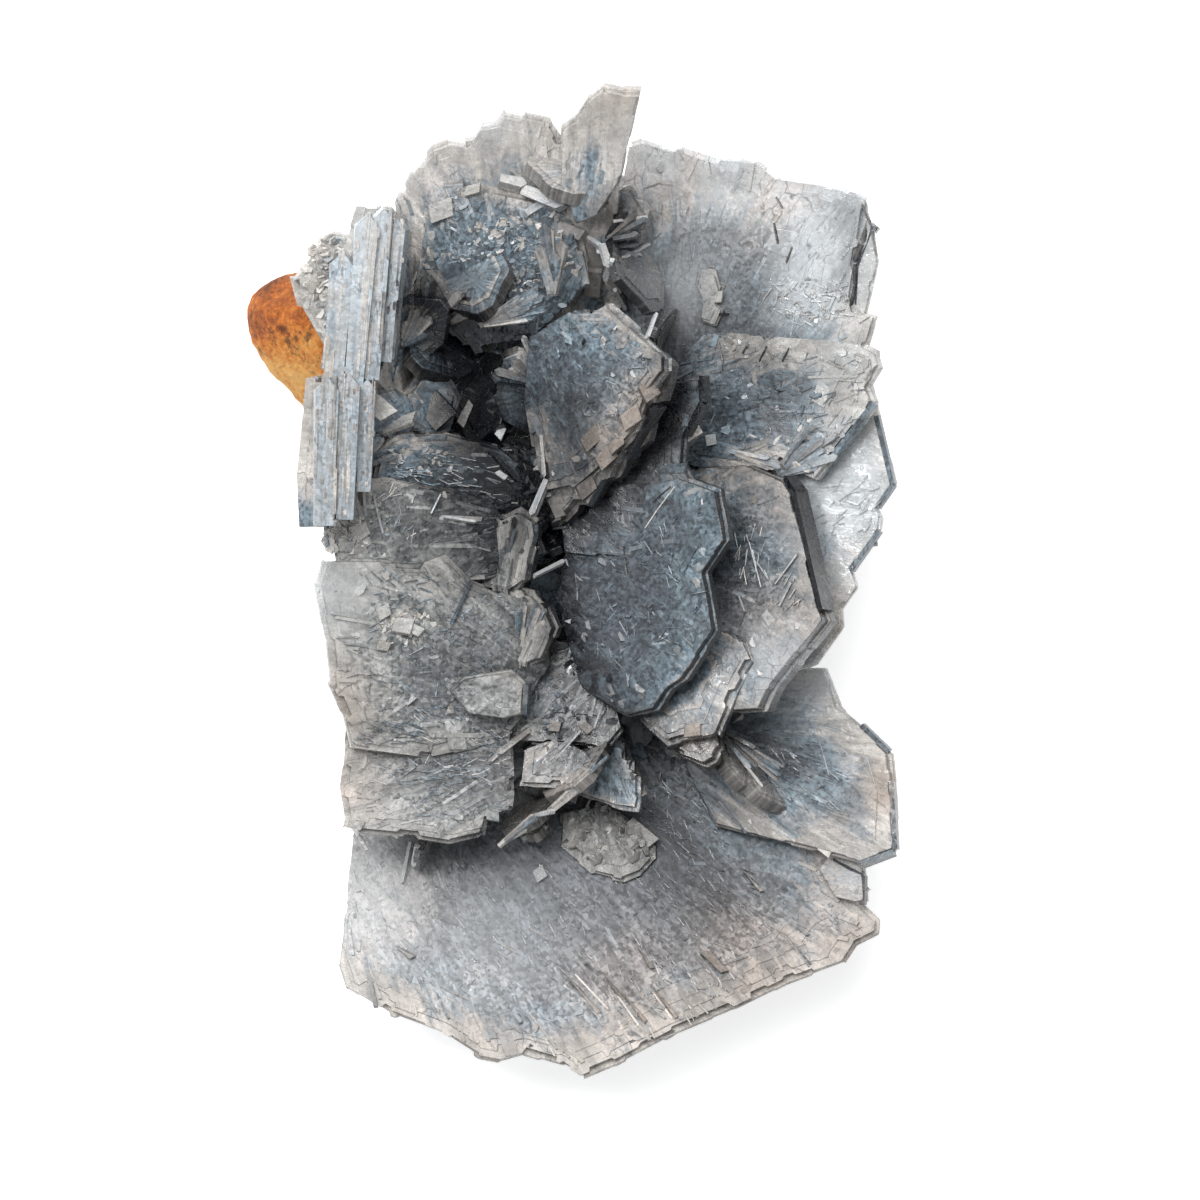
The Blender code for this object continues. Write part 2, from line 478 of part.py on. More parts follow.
def main():
    clear_scene()
    specimen = collection("barite_specimen")
    crystals = collection("crystals_to_join")
    cutters = collection("cutters")
    barite = material("barite", (0.33, 0.37, 0.41), 0.25)
    limonite = material("limonite_stained_rock", (0.55, 0.25, 0.08), 0.9)

    cluster = lump("crystal_cluster", FOOT_MIDDLE, FOOT_REACH, FOOT_TURN, FOOT_SEED, FOOT_BREAKS,
                   specimen)
    for name, (anchor, rise, thickness, outline) in BLADES.items():
        face_blade(name, anchor, rise, thickness, outline, crystals)
    for number, (top, along, normal, *size) in enumerate(STANDING):
        standing_tablet(f"standing_{number}", top, along, normal, size, crystals)
    boolean(cluster, "UNION", group=crystals)

    rock = lump("host_rock", ROCK_MIDDLE, ROCK_REACH, ROCK_TURN, ROCK_SEED, ROCK_BREAKS, specimen)
    clearance = Vector((ROCK_GAP, ROCK_GAP, ROCK_GAP))
    rock_space = lump("rock_space", ROCK_MIDDLE, ROCK_REACH + clearance, ROCK_TURN, ROCK_SEED,
                      ROCK_BREAKS, cutters)
    floor = below_floor(cutters)
    boolean(cluster, "DIFFERENCE", operand=rock_space)
    boolean(cluster, "DIFFERENCE", operand=floor)
    boolean(rock, "DIFFERENCE", operand=floor)
    print("bodies before chips are dropped:", keep_largest_body(cluster), keep_largest_body(rock))

    for joined in list(crystals.objects) + list(cutters.objects):
        bpy.data.objects.remove(joined)
    stand_on_origin((cluster, rock))
    for made, looks in ((cluster, barite), (rock, limonite)):
        made.data.materials.clear()
        made.data.materials.append(looks)


main()
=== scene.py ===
# %% [markdown]
# # A barite specimen
#
# The specimen is a rosette of thin tabular barite blades on a lump of orange, iron-stained host
# rock. It lies on its broken base and is looked at from straight above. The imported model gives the
# room that everything has to stay in, so its box is measured before anything is made.

# %% Load the frame and measure the room
import math
import random

import bmesh
import bpy
import numpy as np
from mathutils import Matrix, Vector, noise
from mathutils.bvhtree import BVHTree


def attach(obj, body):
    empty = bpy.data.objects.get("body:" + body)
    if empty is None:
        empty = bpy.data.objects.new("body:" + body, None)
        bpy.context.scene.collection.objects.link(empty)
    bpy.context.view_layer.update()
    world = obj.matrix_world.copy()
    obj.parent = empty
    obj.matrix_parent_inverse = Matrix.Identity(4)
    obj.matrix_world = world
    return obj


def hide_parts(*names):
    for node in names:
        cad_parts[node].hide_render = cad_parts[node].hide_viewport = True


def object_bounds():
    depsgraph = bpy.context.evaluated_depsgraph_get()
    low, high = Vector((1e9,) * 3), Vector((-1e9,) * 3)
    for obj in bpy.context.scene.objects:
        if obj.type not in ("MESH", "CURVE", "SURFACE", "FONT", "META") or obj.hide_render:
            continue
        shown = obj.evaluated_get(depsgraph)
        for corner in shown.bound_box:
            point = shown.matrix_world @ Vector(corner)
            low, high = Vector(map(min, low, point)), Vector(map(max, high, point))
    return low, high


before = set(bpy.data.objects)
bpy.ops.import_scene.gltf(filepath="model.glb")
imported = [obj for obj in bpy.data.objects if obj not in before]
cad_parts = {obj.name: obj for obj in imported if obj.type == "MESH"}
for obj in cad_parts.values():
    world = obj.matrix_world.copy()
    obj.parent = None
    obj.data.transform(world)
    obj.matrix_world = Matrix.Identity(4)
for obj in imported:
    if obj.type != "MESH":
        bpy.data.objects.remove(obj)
cad_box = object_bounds()
MM = 0.001
ROOM = [[value / MM for value in corner] for corner in cad_box]
print("room, mm:", [[round(value, 1) for value in corner] for corner in ROOM])

# %% [markdown]
# A blade is given as an eye high above the specimen sees it: an outline, a point of its face, and
# how the face rises towards +X and +Y. What stands higher is nearer to the eye and looks larger, so
# a small correction brings each point back to its true place. The whole specimen was moved a hair
# sideways to stand over the origin, and the same move is made here.

# %% From what the eye sees to true places
EYE = Vector((2.7, -1.4, 900.0))
ASIDE = Vector((0.284, -0.083, 0.0))


def sighted(x, y, height):
    """The true place, in mm, of what the eye sees at x, y when it stands this high."""
    nearer = height / EYE.z
    return Vector((x + (EYE.x - x) * nearer, y + (EYE.y - y) * nearer, height)) + ASIDE


def frame_of(middle, along, normal):
    """A matrix whose Z is the normal and whose X is as near to along as that allows."""
    z = Vector(normal).normalized()
    x = Vector(along)
    x = (x - x.dot(z) * z).normalized()
    return Matrix.Translation(Vector(middle)) @ Matrix((x, z.cross(x), z)).transposed().to_4x4()


def in_scene(name, data):
    """A new object that shows some data, linked to the scene."""
    made = bpy.data.objects.new(name, data)
    bpy.context.scene.collection.objects.link(made)
    return made


# %% [markdown]
# These are the blades that make the face of the rosette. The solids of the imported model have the
# same blades in the same places, so the two agree from every side.

# %% The blades of the face
BLADES = {
    "lower_fan": ((0.0, -35.0, 12.5), (0.05, -0.20), 1.6, [
        (-22.1, -25.0), (-22.9, -32.8), (-23.5, -37.7), (-22.7, -40.2), (-18.4, -42.8), (-13.1, -44.8),
        (-9.5, -47.1), (-7.4, -47.5), (-4.9, -46.8), (-1.1, -47.9), (1.0, -49.2), (4.3, -47.8),
        (10.2, -44.7), (16.2, -42.2), (21.5, -39.6), (27.2, -37.5), (28.4, -35.7), (30.6, -34.6),
        (30.7, -33.2), (28.4, -31.0), (26.0, -24.0), (13.0, -10.0), (-1.3, -10.0), (-20.0, -18.0)]),
    "lower_right": ((25.0, -18.0, 15.5), (0.28, -0.05), 1.5, [
        (11.0, -18.0), (15.0, -8.0), (25.1, -8.0), (26.6, -12.1), (28.8, -13.9), (31.7, -16.6),
        (32.0, -19.5), (32.3, -25.2), (32.1, -26.5), (28.8, -27.8), (22.7, -26.2), (14.0, -24.0)]),
    "window_tab": ((28.0, -30.0, 14.6), (0.20, 0.0), 1.2, [
        (26.0, -26.0), (29.1, -28.0), (29.4, -31.6), (28.6, -31.8), (26.2, -31.2), (24.5, -28.2)]),
    "upper_right": ((18.0, 34.0, 15.5), (0.22, 0.10), 1.5, [
        (5.5, 44.3), (6.6, 44.7), (10.0, 43.6), (10.9, 43.9), (14.6, 42.8), (18.3, 42.5),
        (20.3, 40.9), (25.2, 40.2), (29.3, 38.8), (28.6, 34.0), (27.8, 29.0), (28.2, 27.4),
        (30.3, 26.9), (28.8, 22.0), (22.0, 14.0), (6.0, 12.0), (0.0, 24.0), (3.0, 33.0),
        (4.5, 39.8)]),
    "clear_sliver": ((28.0, 34.0, 16.9), (0.22, 0.10), 0.9, [
        (27.6, 39.4), (29.2, 38.6), (30.0, 36.1), (30.6, 32.4), (29.3, 27.0), (24.0, 26.0),
        (24.0, 35.0)]),
    "right_window": ((24.0, 4.0, 17.5), (0.28, 0.0), 1.2, [
        (28.8, 24.0), (30.5, 17.0), (32.2, 10.2), (30.4, 7.9), (30.8, 7.1), (30.6, 5.6), (27.8, 1.6),
        (28.4, -0.2), (26.8, -2.5), (26.9, -4.1), (24.2, -7.9), (14.0, -12.0), (8.0, -4.0),
        (8.0, 14.0), (14.0, 24.0)]),
    "right_upper": ((22.0, 18.0, 19.0), (0.42, -0.05), 1.4, [
        (28.8, 24.3), (30.2, 23.6), (30.6, 22.1), (29.5, 20.3), (30.2, 18.6), (29.7, 17.6),
        (24.2, 10.6), (20.5, 12.2), (16.0, 10.0), (9.0, 12.0), (7.0, 19.0), (13.0, 25.6),
        (20.0, 25.0)]),
    "thick_right": ((19.0, 0.0, 22.5), (0.50, -0.10), 2.8, [
        (17.2, 12.3), (21.2, 10.6), (22.0, 9.2), (23.2, 4.0), (24.6, -2.0), (25.2, -3.4),
        (19.9, -10.0), (18.8, -12.5), (16.1, -12.7), (8.0, -12.0), (8.0, 6.0), (12.0, 12.0)]),
    "stepped_right": ((12.0, -11.0, 22.0), (0.35, -0.20), 1.5, [
        (14.1, -4.1), (15.5, -4.3), (17.1, -5.4), (18.0, -7.3), (16.3, -10.4), (14.4, -15.0),
        (10.7, -15.7), (9.4, -16.1), (7.7, -14.6), (5.0, -12.0), (8.0, -7.0)]),
    "right_knob": ((12.5, -16.0, 20.8), (0.20, -0.20), 2.4, [
        (11.7, -13.0), (14.4, -14.0), (14.9, -16.2), (14.4, -17.3), (13.2, -18.0), (10.9, -17.1),
        (9.4, -16.1), (9.0, -13.6)]),
    "middle_right": ((8.0, 0.0, 23.5), (0.60, -0.05), 1.6, [
        (10.7, 11.1), (14.3, 9.8), (15.2, 4.6), (13.0, 1.4), (13.3, 0.1), (14.1, -4.4), (11.0, -9.4),
        (9.5, -10.4), (8.2, -12.4), (5.2, -13.2), (3.7, -12.4), (0.7, -10.4), (-1.3, -3.4),
        (-1.3, 2.6), (3.0, 9.0)]),
    "shadowed_right": ((6.0, 12.0, 22.0), (0.40, 0.0), 1.4, [
        (12.8, 21.0), (13.0, 18.5), (11.2, 15.1), (11.0, 12.1), (13.0, 9.0), (8.0, 2.0), (-1.0, 3.0),
        (-2.0, 12.0), (4.0, 20.0)]),
    "crest": ((4.0, 18.0, 27.5), (0.70, 0.05), 1.2, [
        (3.4, 28.3), (9.1, 22.9), (9.1, 21.4), (7.6, 19.4), (6.2, 15.4), (3.0, 12.0), (0.2, 9.6),
        (-2.6, 9.0), (-3.6, 18.0), (-2.8, 24.6)]),
    "crest_base": ((4.0, 18.0, 26.2), (0.66, 0.04), 2.2, [
        (3.4, 27.6), (9.3, 22.2), (9.0, 20.2), (8.4, 18.4), (7.6, 17.9), (6.9, 14.4), (5.4, 13.2),
        (4.2, 10.8), (2.8, 10.2), (1.4, 7.6), (0.0, 7.6), (-1.7, 5.8), (-3.6, 10.0), (-5.0, 18.6),
        (-4.4, 25.2), (-0.3, 27.6)]),
    "top_spire": ((3.0, 43.0, 26.5), (0.10, 0.45), 1.7, [
        (-1.3, 45.6), (0.2, 46.6), (1.5, 48.6), (3.0, 49.8), (4.9, 49.4), (6.8, 49.3), (5.7, 44.6),
        (4.7, 40.1), (2.7, 37.1), (0.2, 36.0), (-1.3, 40.0)]),
    "upper_left": ((-9.0, 40.0, 20.5), (-0.05, 0.35), 1.6, [
        (-17.8, 38.1), (-16.3, 41.1), (-14.3, 43.6), (-12.5, 44.3), (-10.5, 44.0), (-9.3, 45.8),
        (-7.6, 46.1), (-6.8, 47.4), (-2.1, 46.4), (-0.8, 44.6), (0.5, 38.0), (-5.3, 30.0),
        (-14.3, 28.0), (-17.3, 34.6)]),
    "upper_middle": ((-7.0, 32.0, 19.5), (0.0, 0.30), 2.2, [
        (-14.5, 38.5), (-13.3, 40.3), (-11.0, 40.5), (-8.0, 39.8), (-3.3, 38.8), (0.2, 37.8),
        (2.0, 30.0), (-3.8, 24.6), (-11.3, 23.6), (-16.3, 28.6)]),
    "left_lobes": ((-23.0, 31.0, 18.0), (-0.05, 0.25), 2.2, [
        (-18.0, 37.8), (-19.8, 37.9), (-21.1, 37.1), (-22.1, 34.8), (-24.0, 35.1), (-25.8, 34.1),
        (-26.8, 32.4), (-28.3, 30.6), (-27.5, 27.6), (-24.3, 22.0), (-16.0, 21.0), (-12.5, 31.0)]),
    "left_wall": ((-20.0, 30.0, 24.0), (-1.50, 0.10), 2.2, [
        (-19.8, 38.0), (-17.0, 37.6), (-14.6, 33.0), (-14.8, 26.0), (-17.5, 21.6), (-23.3, 21.4),
        (-22.6, 27.0), (-21.3, 33.0)]),
    "left_wall_low": ((-23.5, 14.0, 22.0), (-1.60, 0.05), 2.0, [
        (-24.9, 20.8), (-23.0, 21.2), (-20.6, 20.4), (-19.6, 15.0), (-21.0, 9.0), (-22.6, 6.0),
        (-25.6, 5.8), (-25.8, 11.0), (-25.3, 17.0)]),
    "left_bank": ((-12.0, 11.0, 20.5), (-0.15, 0.30), 1.6, [
        (-19.3, 13.6), (-17.3, 14.9), (-12.8, 15.2), (-7.3, 13.9), (-5.8, 12.6), (-4.9, 10.8),
        (-5.3, 6.0), (-14.3, 3.6), (-21.0, 6.0)]),
    "left_bank_low": ((-14.0, 6.0, 22.0), (-0.15, 0.10), 1.7, [
        (-22.8, 10.6), (-19.3, 11.0), (-12.3, 9.8), (-8.3, 8.6), (-5.8, 5.6), (-6.3, 1.0),
        (-12.3, -1.0), (-23.3, -1.0), (-24.3, 5.6)]),
    "left_lobe": ((-14.0, -6.0, 22.5), (-0.22, 0.12), 1.9, [
        (-24.8, 2.6), (-25.6, 0.1), (-24.6, -5.4), (-24.1, -10.4), (-22.8, -13.4), (-22.1, -16.4),
        (-14.3, -17.4), (-7.3, -15.9), (-4.8, -12.9), (-2.0, -7.4), (-3.0, -2.0), (-7.3, -0.4),
        (-10.2, 0.8), (-12.8, 3.4), (-15.3, 2.4), (-19.3, 2.6)]),
    "left_foot": ((-15.0, -20.0, 20.5), (-0.05, -0.10), 1.9, [
        (-23.0, -17.9), (-23.3, -19.9), (-22.8, -22.9), (-23.1, -24.2), (-21.5, -24.6),
        (-15.5, -25.2), (-12.3, -25.7), (-8.8, -24.9), (-8.4, -23.1), (-5.9, -22.2), (-5.7, -20.4),
        (-6.0, -13.0), (-14.3, -11.0), (-22.6, -13.0)]),
    "perched_tablet": ((-8.5, -11.0, 23.2), (-0.10, 0.16), 1.3, [
        (-12.3, -10.6), (-10.8, -9.2), (-6.0, -8.5), (-4.6, -9.8), (-4.9, -12.9), (-6.6, -13.4),
        (-10.3, -12.9)]),
    "centre_leaf": ((-6.0, 3.0, 21.8), (0.70, 0.15), 1.5, [
        (-9.0, 6.4), (-5.8, 8.0), (-3.9, 6.7), (-3.7, 5.2), (-4.8, 0.4), (-6.6, -0.8),
        (-10.0, 0.0)]),
    "centre_leaf_low": ((-4.4, -4.0, 21.2), (0.60, 0.0), 1.5, [
        (-6.4, 0.2), (-4.2, -0.3), (-2.7, -1.9), (-1.8, -4.0), (-3.2, -7.4), (-6.0, -8.6),
        (-8.0, -5.2)]),
    "middle_floor": ((0.0, -11.0, 18.2), (0.10, -0.10), 1.6, [
        (-5.0, -4.6), (-1.3, -5.4), (4.0, -10.6), (5.0, -14.4), (3.4, -16.4), (-7.0, -15.6),
        (-7.6, -9.0)]),
    "brown_oval": ((-1.6, -17.4, 19.6), (0.15, -0.10), 1.4, [
        (-5.2, -16.4), (-2.7, -15.5), (-0.4, -15.6), (1.6, -16.8), (2.7, -18.6), (-0.2, -20.2),
        (-5.6, -20.0)]),
    "stair_tablet": ((5.0, -19.0, 17.6), (0.35, -0.10), 1.2, [
        (2.6, -15.2), (5.0, -15.4), (5.0, -17.3), (6.0, -17.5), (6.0, -18.7), (6.7, -18.9),
        (6.7, -21.3), (6.4, -22.6), (4.6, -22.4), (0.0, -20.7)]),
    "druse_tab": ((3.0, -26.0, 12.4), (0.05, -0.16), 1.5, [
        (-1.4, -22.6), (2.6, -21.6), (4.6, -22.4), (7.0, -24.3), (8.3, -25.3), (8.3, -27.3),
        (7.0, -28.8), (5.0, -29.6), (2.0, -28.9), (-1.5, -26.0)]),
    "hidden_hexagon": ((-18.6, 17.2, 21.6), (-0.30, 0.20), 1.3, [
        (-21.1, 19.0), (-17.8, 19.8), (-15.9, 18.5), (-15.7, 15.8), (-17.5, 14.2), (-20.9, 15.7)]),
    "dark_block": ((5.2, 36.0, 20.5), (0.30, 0.20), 2.0, [
        (2.6, 39.2), (5.7, 40.0), (7.5, 37.3), (6.9, 34.2), (4.7, 32.0), (1.8, 33.8)]),
    "recess_floor": ((-9.0, 20.0, 13.4), (-0.05, 0.10), 1.6, [
        (-15.0, 27.0), (-6.0, 29.0), (-2.0, 22.0), (-2.0, 9.0), (-10.0, 9.0), (-15.0, 18.0)]),
    "bank_step": ((-15.0, 18.0, 19.2), (-0.20, 0.25), 1.4, [
        (-18.4, 15.4), (-16.6, 19.4), (-14.4, 22.6), (-12.6, 21.8), (-11.0, 19.2), (-12.4, 15.0)]),
    "pale_patch": ((13.6, 29.0, 15.3), (0.22, 0.12), 0.9, [
        (12.7, 31.8), (14.2, 31.6), (14.7, 29.8), (14.3, 28.3), (15.1, 27.6), (14.3, 25.8),
        (12.7, 26.3), (13.0, 28.8), (12.3, 30.3)]),
}
print("face blades:", len(BLADES))

# %% [markdown]
# ## Barite, as grown
#
# Barite is glassy, with a refractive index of 1.64. These blades are cloudy: light goes in, is
# scattered by fine inclusions and comes out blue-grey, while the last-grown rims are nearly free of
# them. The shader is glass and cloud in one: the transmission weight is high at the rim and in the
# clear places, some of them painted light on shaded spots, and low inside, and the base colour runs
# from warm white at the rim through blue to grey, and to almost black in the smoke and the painted
# shade of the hollows. Fine growth lines run out towards the rim, and the growth steps are painted:
# a dark line of painted shade with a pale line of painted highlight beside it.

# %% Colours, and one helper that adds a node
def linear(code):
    """An sRGB hex colour as linear RGBA."""
    channels = [int(code[at:at + 2], 16) / 255 for at in (0, 2, 4)]
    made = [value / 12.92 if value <= 0.04045 else ((value + 0.055) / 1.055) ** 2.4
            for value in channels]
    return (*made, 1.0)


def add(tree, kind, inputs=None, **settings):
    """Adds a node, applies its settings, and fills its inputs with values or links."""
    made = tree.nodes.new(kind)
    for name, value in settings.items():
        setattr(made, name, value)
    for name, value in (inputs or {}).items():
        if isinstance(value, bpy.types.NodeSocket):
            tree.links.new(value, made.inputs[name])
        else:
            made.inputs[name].default_value = value
    return made


def empty_material(name):
    """A material without nodes, its node tree, and the place on the piece in mm."""
    made = bpy.data.materials.new(name)
    made.use_nodes = True
    tree = made.node_tree
    tree.nodes.clear()
    place = add(tree, "ShaderNodeTexCoord").outputs["Object"]
    in_mm = add(tree, "ShaderNodeMapping", {"Vector": place, "Scale": (1 / MM, 1 / MM, 1 / MM)})
    return made, tree, in_mm.outputs["Vector"]


def grain(tree, vector, scale, detail, roughness=0.5, distortion=0.0, output="Fac", **settings):
    """Soft noise with features about one over the scale wide."""
    return add(tree, "ShaderNodeTexNoise", {
        "Vector": vector, "Scale": scale, "Detail": detail, "Roughness": roughness,
        "Distortion": distortion}, **settings).outputs[output]


def ramp(tree, factor, stops):
    """A colour ramp over hex colours."""
    made = add(tree, "ShaderNodeValToRGB", {"Fac": factor})
    points = made.color_ramp.elements
    while len(points) < len(stops):
        points.new(0.5)
    for point, (at, code) in zip(points, stops):
        point.position = at
        point.color = linear(code)
    return made.outputs["Color"]


def spread(tree, value, low, high, to_low, to_high):
    """Maps a value's usual range onto another, and keeps it there."""
    return add(tree, "ShaderNodeMapRange", {
        "Value": value, "From Min": low, "From Max": high, "To Min": to_low, "To Max": to_high,
    }).outputs["Result"]


def both(tree, operation, first, second, clamp=False):
    """One sum, product or difference of two values."""
    return add(tree, "ShaderNodeMath", {0: first, 1: second}, operation=operation,
               use_clamp=clamp).outputs[0]


def blended(tree, factor, first, second, kind="MIX"):
    """One colour laid over another."""
    return add(tree, "ShaderNodeMix", {"Factor": factor, 6: first, 7: second},
               data_type="RGBA", blend_type=kind).outputs[2]


# %% Crystal cells: tone, tilt and seams
def cells(tree, vector, scale, dimensions):
    """Irregular cells: a tone for each, the height of its tilted face, and the way to its seam."""
    settings = {"voronoi_dimensions": dimensions}
    near = add(tree, "ShaderNodeTexVoronoi", {
        "Vector": vector, "Scale": scale, "Randomness": 0.95}, **settings)
    seam = add(tree, "ShaderNodeTexVoronoi", {
        "Vector": vector, "Scale": scale, "Randomness": 0.95}, feature="DISTANCE_TO_EDGE", **settings)
    inner = add(tree, "ShaderNodeVectorMath", {0: vector, 1: near.outputs["Position"]},
                operation="SUBTRACT").outputs[0]
    lean = add(tree, "ShaderNodeVectorMath", {0: near.outputs["Color"], 1: (0.5, 0.5, 0.5)},
               operation="SUBTRACT").outputs[0]
    tilt = add(tree, "ShaderNodeVectorMath", {0: inner, 1: lean}, operation="DOT_PRODUCT")
    tone = add(tree, "ShaderNodeSeparateColor", {"Color": near.outputs["Color"]}).outputs["Red"]
    return tone, both(tree, "MULTIPLY", tilt.outputs["Value"], scale), seam.outputs["Distance"]


# %% The barite material
# Near-black for smoky crystal and for the painted shade of the hollows and valleys.
SMOKE_AND_SHADE = linear("101116")
# White for clear crystal, for painted light on shaded spots and for the painted highlight beside each
# growth step.
CLEAR_AND_LIGHT_WHITE = linear("f3f8fb")
TAN = linear("bdab9d")
# Dark grey for the seams between laths and for the painted shade of the growth steps.
SEAM_AND_STEP_SHADE = linear("34353a")


def barite(name, stops, glass=(0.36, 0.0), body=20.0, gloss=0.5):
    """Cloudy to clear barite whose looks follow the growth attribute."""
    made, tree, in_mm = empty_material(name)
    growth = add(tree, "ShaderNodeAttribute", attribute_name="growth")
    parts = add(tree, "ShaderNodeSeparateColor", {"Color": growth.outputs["Color"]})
    zone, smoke_and_shade, clear = (parts.outputs[channel] for channel in ("Red", "Green", "Blue"))
    tan = growth.outputs["Alpha"]
    chart = add(tree, "ShaderNodeUVMap", uv_map="growth_lines").outputs["UV"]

    # A UV unit is 10 mm. Streaks 1.2 mm wide and 9 mm long, and laths 1 mm wide and 5 mm long.
    streaks_at = add(tree, "ShaderNodeMapping", {"Vector": chart, "Scale": (8.0, 1.1, 1.0)})
    streak = grain(tree, streaks_at.outputs["Vector"], 1.0, 5.0, 0.68, 0.5, noise_dimensions="2D")
    laths_at = add(tree, "ShaderNodeMapping", {"Vector": chart, "Scale": (9.0, 2.0, 1.0)})
    bend = grain(tree, in_mm, 0.5, 2.0, output="Color")
    bent = add(tree, "ShaderNodeVectorMath", {0: laths_at.outputs["Vector"], 1: bend},
               operation="ADD").outputs[0]
    lath_tone, _, lath_seam = cells(tree, bent, 1.0, "2D")
    # Clouds of inclusions about 6 mm across, and facets of 0.3 mm.
    cloud = grain(tree, in_mm, 0.16, 5.0, 0.74)
    facet_tone, facet_tilt, _ = cells(tree, in_mm, 3.0, "3D")
    # Growth steps run like the contour lines of a map, one to a few mm apart. They are only painted:
    # each edge is a dark line of painted shade with a pale line of painted highlight beside it, broken
    # off here and there.
    swell = grain(tree, in_mm, 0.22, 3.0, 0.55, 0.6)
    levels = both(tree, "MULTIPLY", swell, 9.0)
    terrace = add(tree, "ShaderNodeMath", {0: levels}, operation="FLOOR").outputs[0]
    climb = both(tree, "SUBTRACT", levels, terrace)
    broken_off = spread(tree, streak, 0.46, 0.56, 0.0, 0.6)
    step_shade_line = both(tree, "MULTIPLY", spread(tree, climb, 0.0, 0.08, 1.0, 0.0), broken_off)
    step_glint = both(tree, "MULTIPLY", spread(tree, climb, 0.10, 0.16, 0.5, 0.0), broken_off)

    wander = spread(tree, cloud, 0.32, 0.68, -0.20, 0.20)
    moved = both(tree, "ADD", zone, wander)
    moved = both(tree, "ADD", moved, spread(tree, streak, 0.3, 0.7, 0.14, -0.14), clamp=True)
    colour = ramp(tree, moved, stops)
    colour = blended(tree, both(tree, "MULTIPLY", tan, spread(tree, streak, 0.3, 0.7, 0.5, 1.0)),
                     colour, TAN)
    shade = both(tree, "MULTIPLY", spread(tree, streak, 0.3, 0.7, 0.68, 1.30),
                 spread(tree, lath_tone, 0.0, 1.0, 0.93, 1.05))
    # The facets stand out where the crystal is cloudy and hardly show at its clear rim.
    contrast = both(tree, "MULTIPLY", spread(tree, moved, 0.05, 0.5, 0.14, 0.95),
                    both(tree, "SUBTRACT", facet_tone, 0.5))
    shade = both(tree, "MULTIPLY", shade, both(tree, "ADD", contrast, 1.0))
    shade = both(tree, "MULTIPLY", shade, spread(tree, cloud, 0.3, 0.7, 0.58, 1.40))
    colour = blended(tree, 1.0, colour, shade, "MULTIPLY")
    # Smoke and painted shade darken the colour here.
    smoke_and_shade_level = both(tree, "ADD", smoke_and_shade, both(tree, "MULTIPLY", wander, smoke_and_shade))
    smoke_and_shade_level = both(tree, "SUBTRACT", smoke_and_shade_level, both(
        tree, "MULTIPLY", spread(tree, streak, 0.45, 0.7, 0.0, 0.16), smoke_and_shade), clamp=True)
    colour = blended(tree, smoke_and_shade_level, colour, SMOKE_AND_SHADE)
    colour = blended(tree, clear, colour, CLEAR_AND_LIGHT_WHITE)
    seam = both(tree, "MULTIPLY", spread(tree, lath_seam, 0.0, 0.05, 1.0, 0.0),
                spread(tree, cloud, 0.50, 0.58, 0.0, 0.65))
    colour = blended(tree, seam, colour, SEAM_AND_STEP_SHADE)
    colour = blended(tree, step_glint, colour, CLEAR_AND_LIGHT_WHITE, "SOFT_LIGHT")
    colour = blended(tree, step_shade_line, colour, SEAM_AND_STEP_SHADE)

    glassy = both(tree, "ADD", spread(tree, moved, 0.0, 0.35, *glass),
                  both(tree, "MULTIPLY", clear, 0.38), clamp=True)
    rough = both(tree, "SUBTRACT", spread(tree, facet_tone, 0.0, 1.0, 0.16, 0.42),
                 both(tree, "MULTIPLY", clear, 0.12))
    relief = both(tree, "ADD", both(tree, "MULTIPLY", facet_tilt, 0.36),
                  both(tree, "MULTIPLY", streak, 0.9))
    bump = add(tree, "ShaderNodeBump", {"Strength": 0.5, "Distance": 0.2 * MM, "Height": relief})
    shader = add(tree, "ShaderNodeBsdfPrincipled", {
        "Base Color": colour, "Roughness": rough, "IOR": 1.64, "Specular IOR Level": gloss,
        "Transmission Weight": glassy, "Normal": bump.outputs["Normal"]})
    volume = add(tree, "ShaderNodeVolumeAbsorption", {"Color": linear("b4bcc6"), "Density": body})
    add(tree, "ShaderNodeOutputMaterial", {
        "Surface": shader.outputs["BSDF"], "Volume": volume.outputs["Volume"]})
    return made


ZONED = [(0.0, "ebe6df"), (0.12, "d0cac4"), (0.26, "9fa1a3"), (0.40, "768792"), (0.60, "647078"),
         (1.0, "585e65")]
PALE_ZONED = [(0.0, "e4e1db"), (0.14, "c4c2be"), (0.34, "9b9c9b"), (0.64, "7e8080"), (1.0, "6c6e70")]
ETCHED = [(0.0, "ebe6df"), (0.12, "cfc9c3"), (0.26, "a6a9ac"), (0.45, "8897a1"), (0.70, "80878e"),
          (1.0, "777b80")]
zoned_barite = barite("barite_zoned", ZONED)
etched_barite = barite("barite_etched", ETCHED, gloss=0.12)
pale_barite = barite("barite_pale", PALE_ZONED, gloss=0.3)
print("barite materials:", zoned_barite.name, etched_barite.name, pale_barite.name)
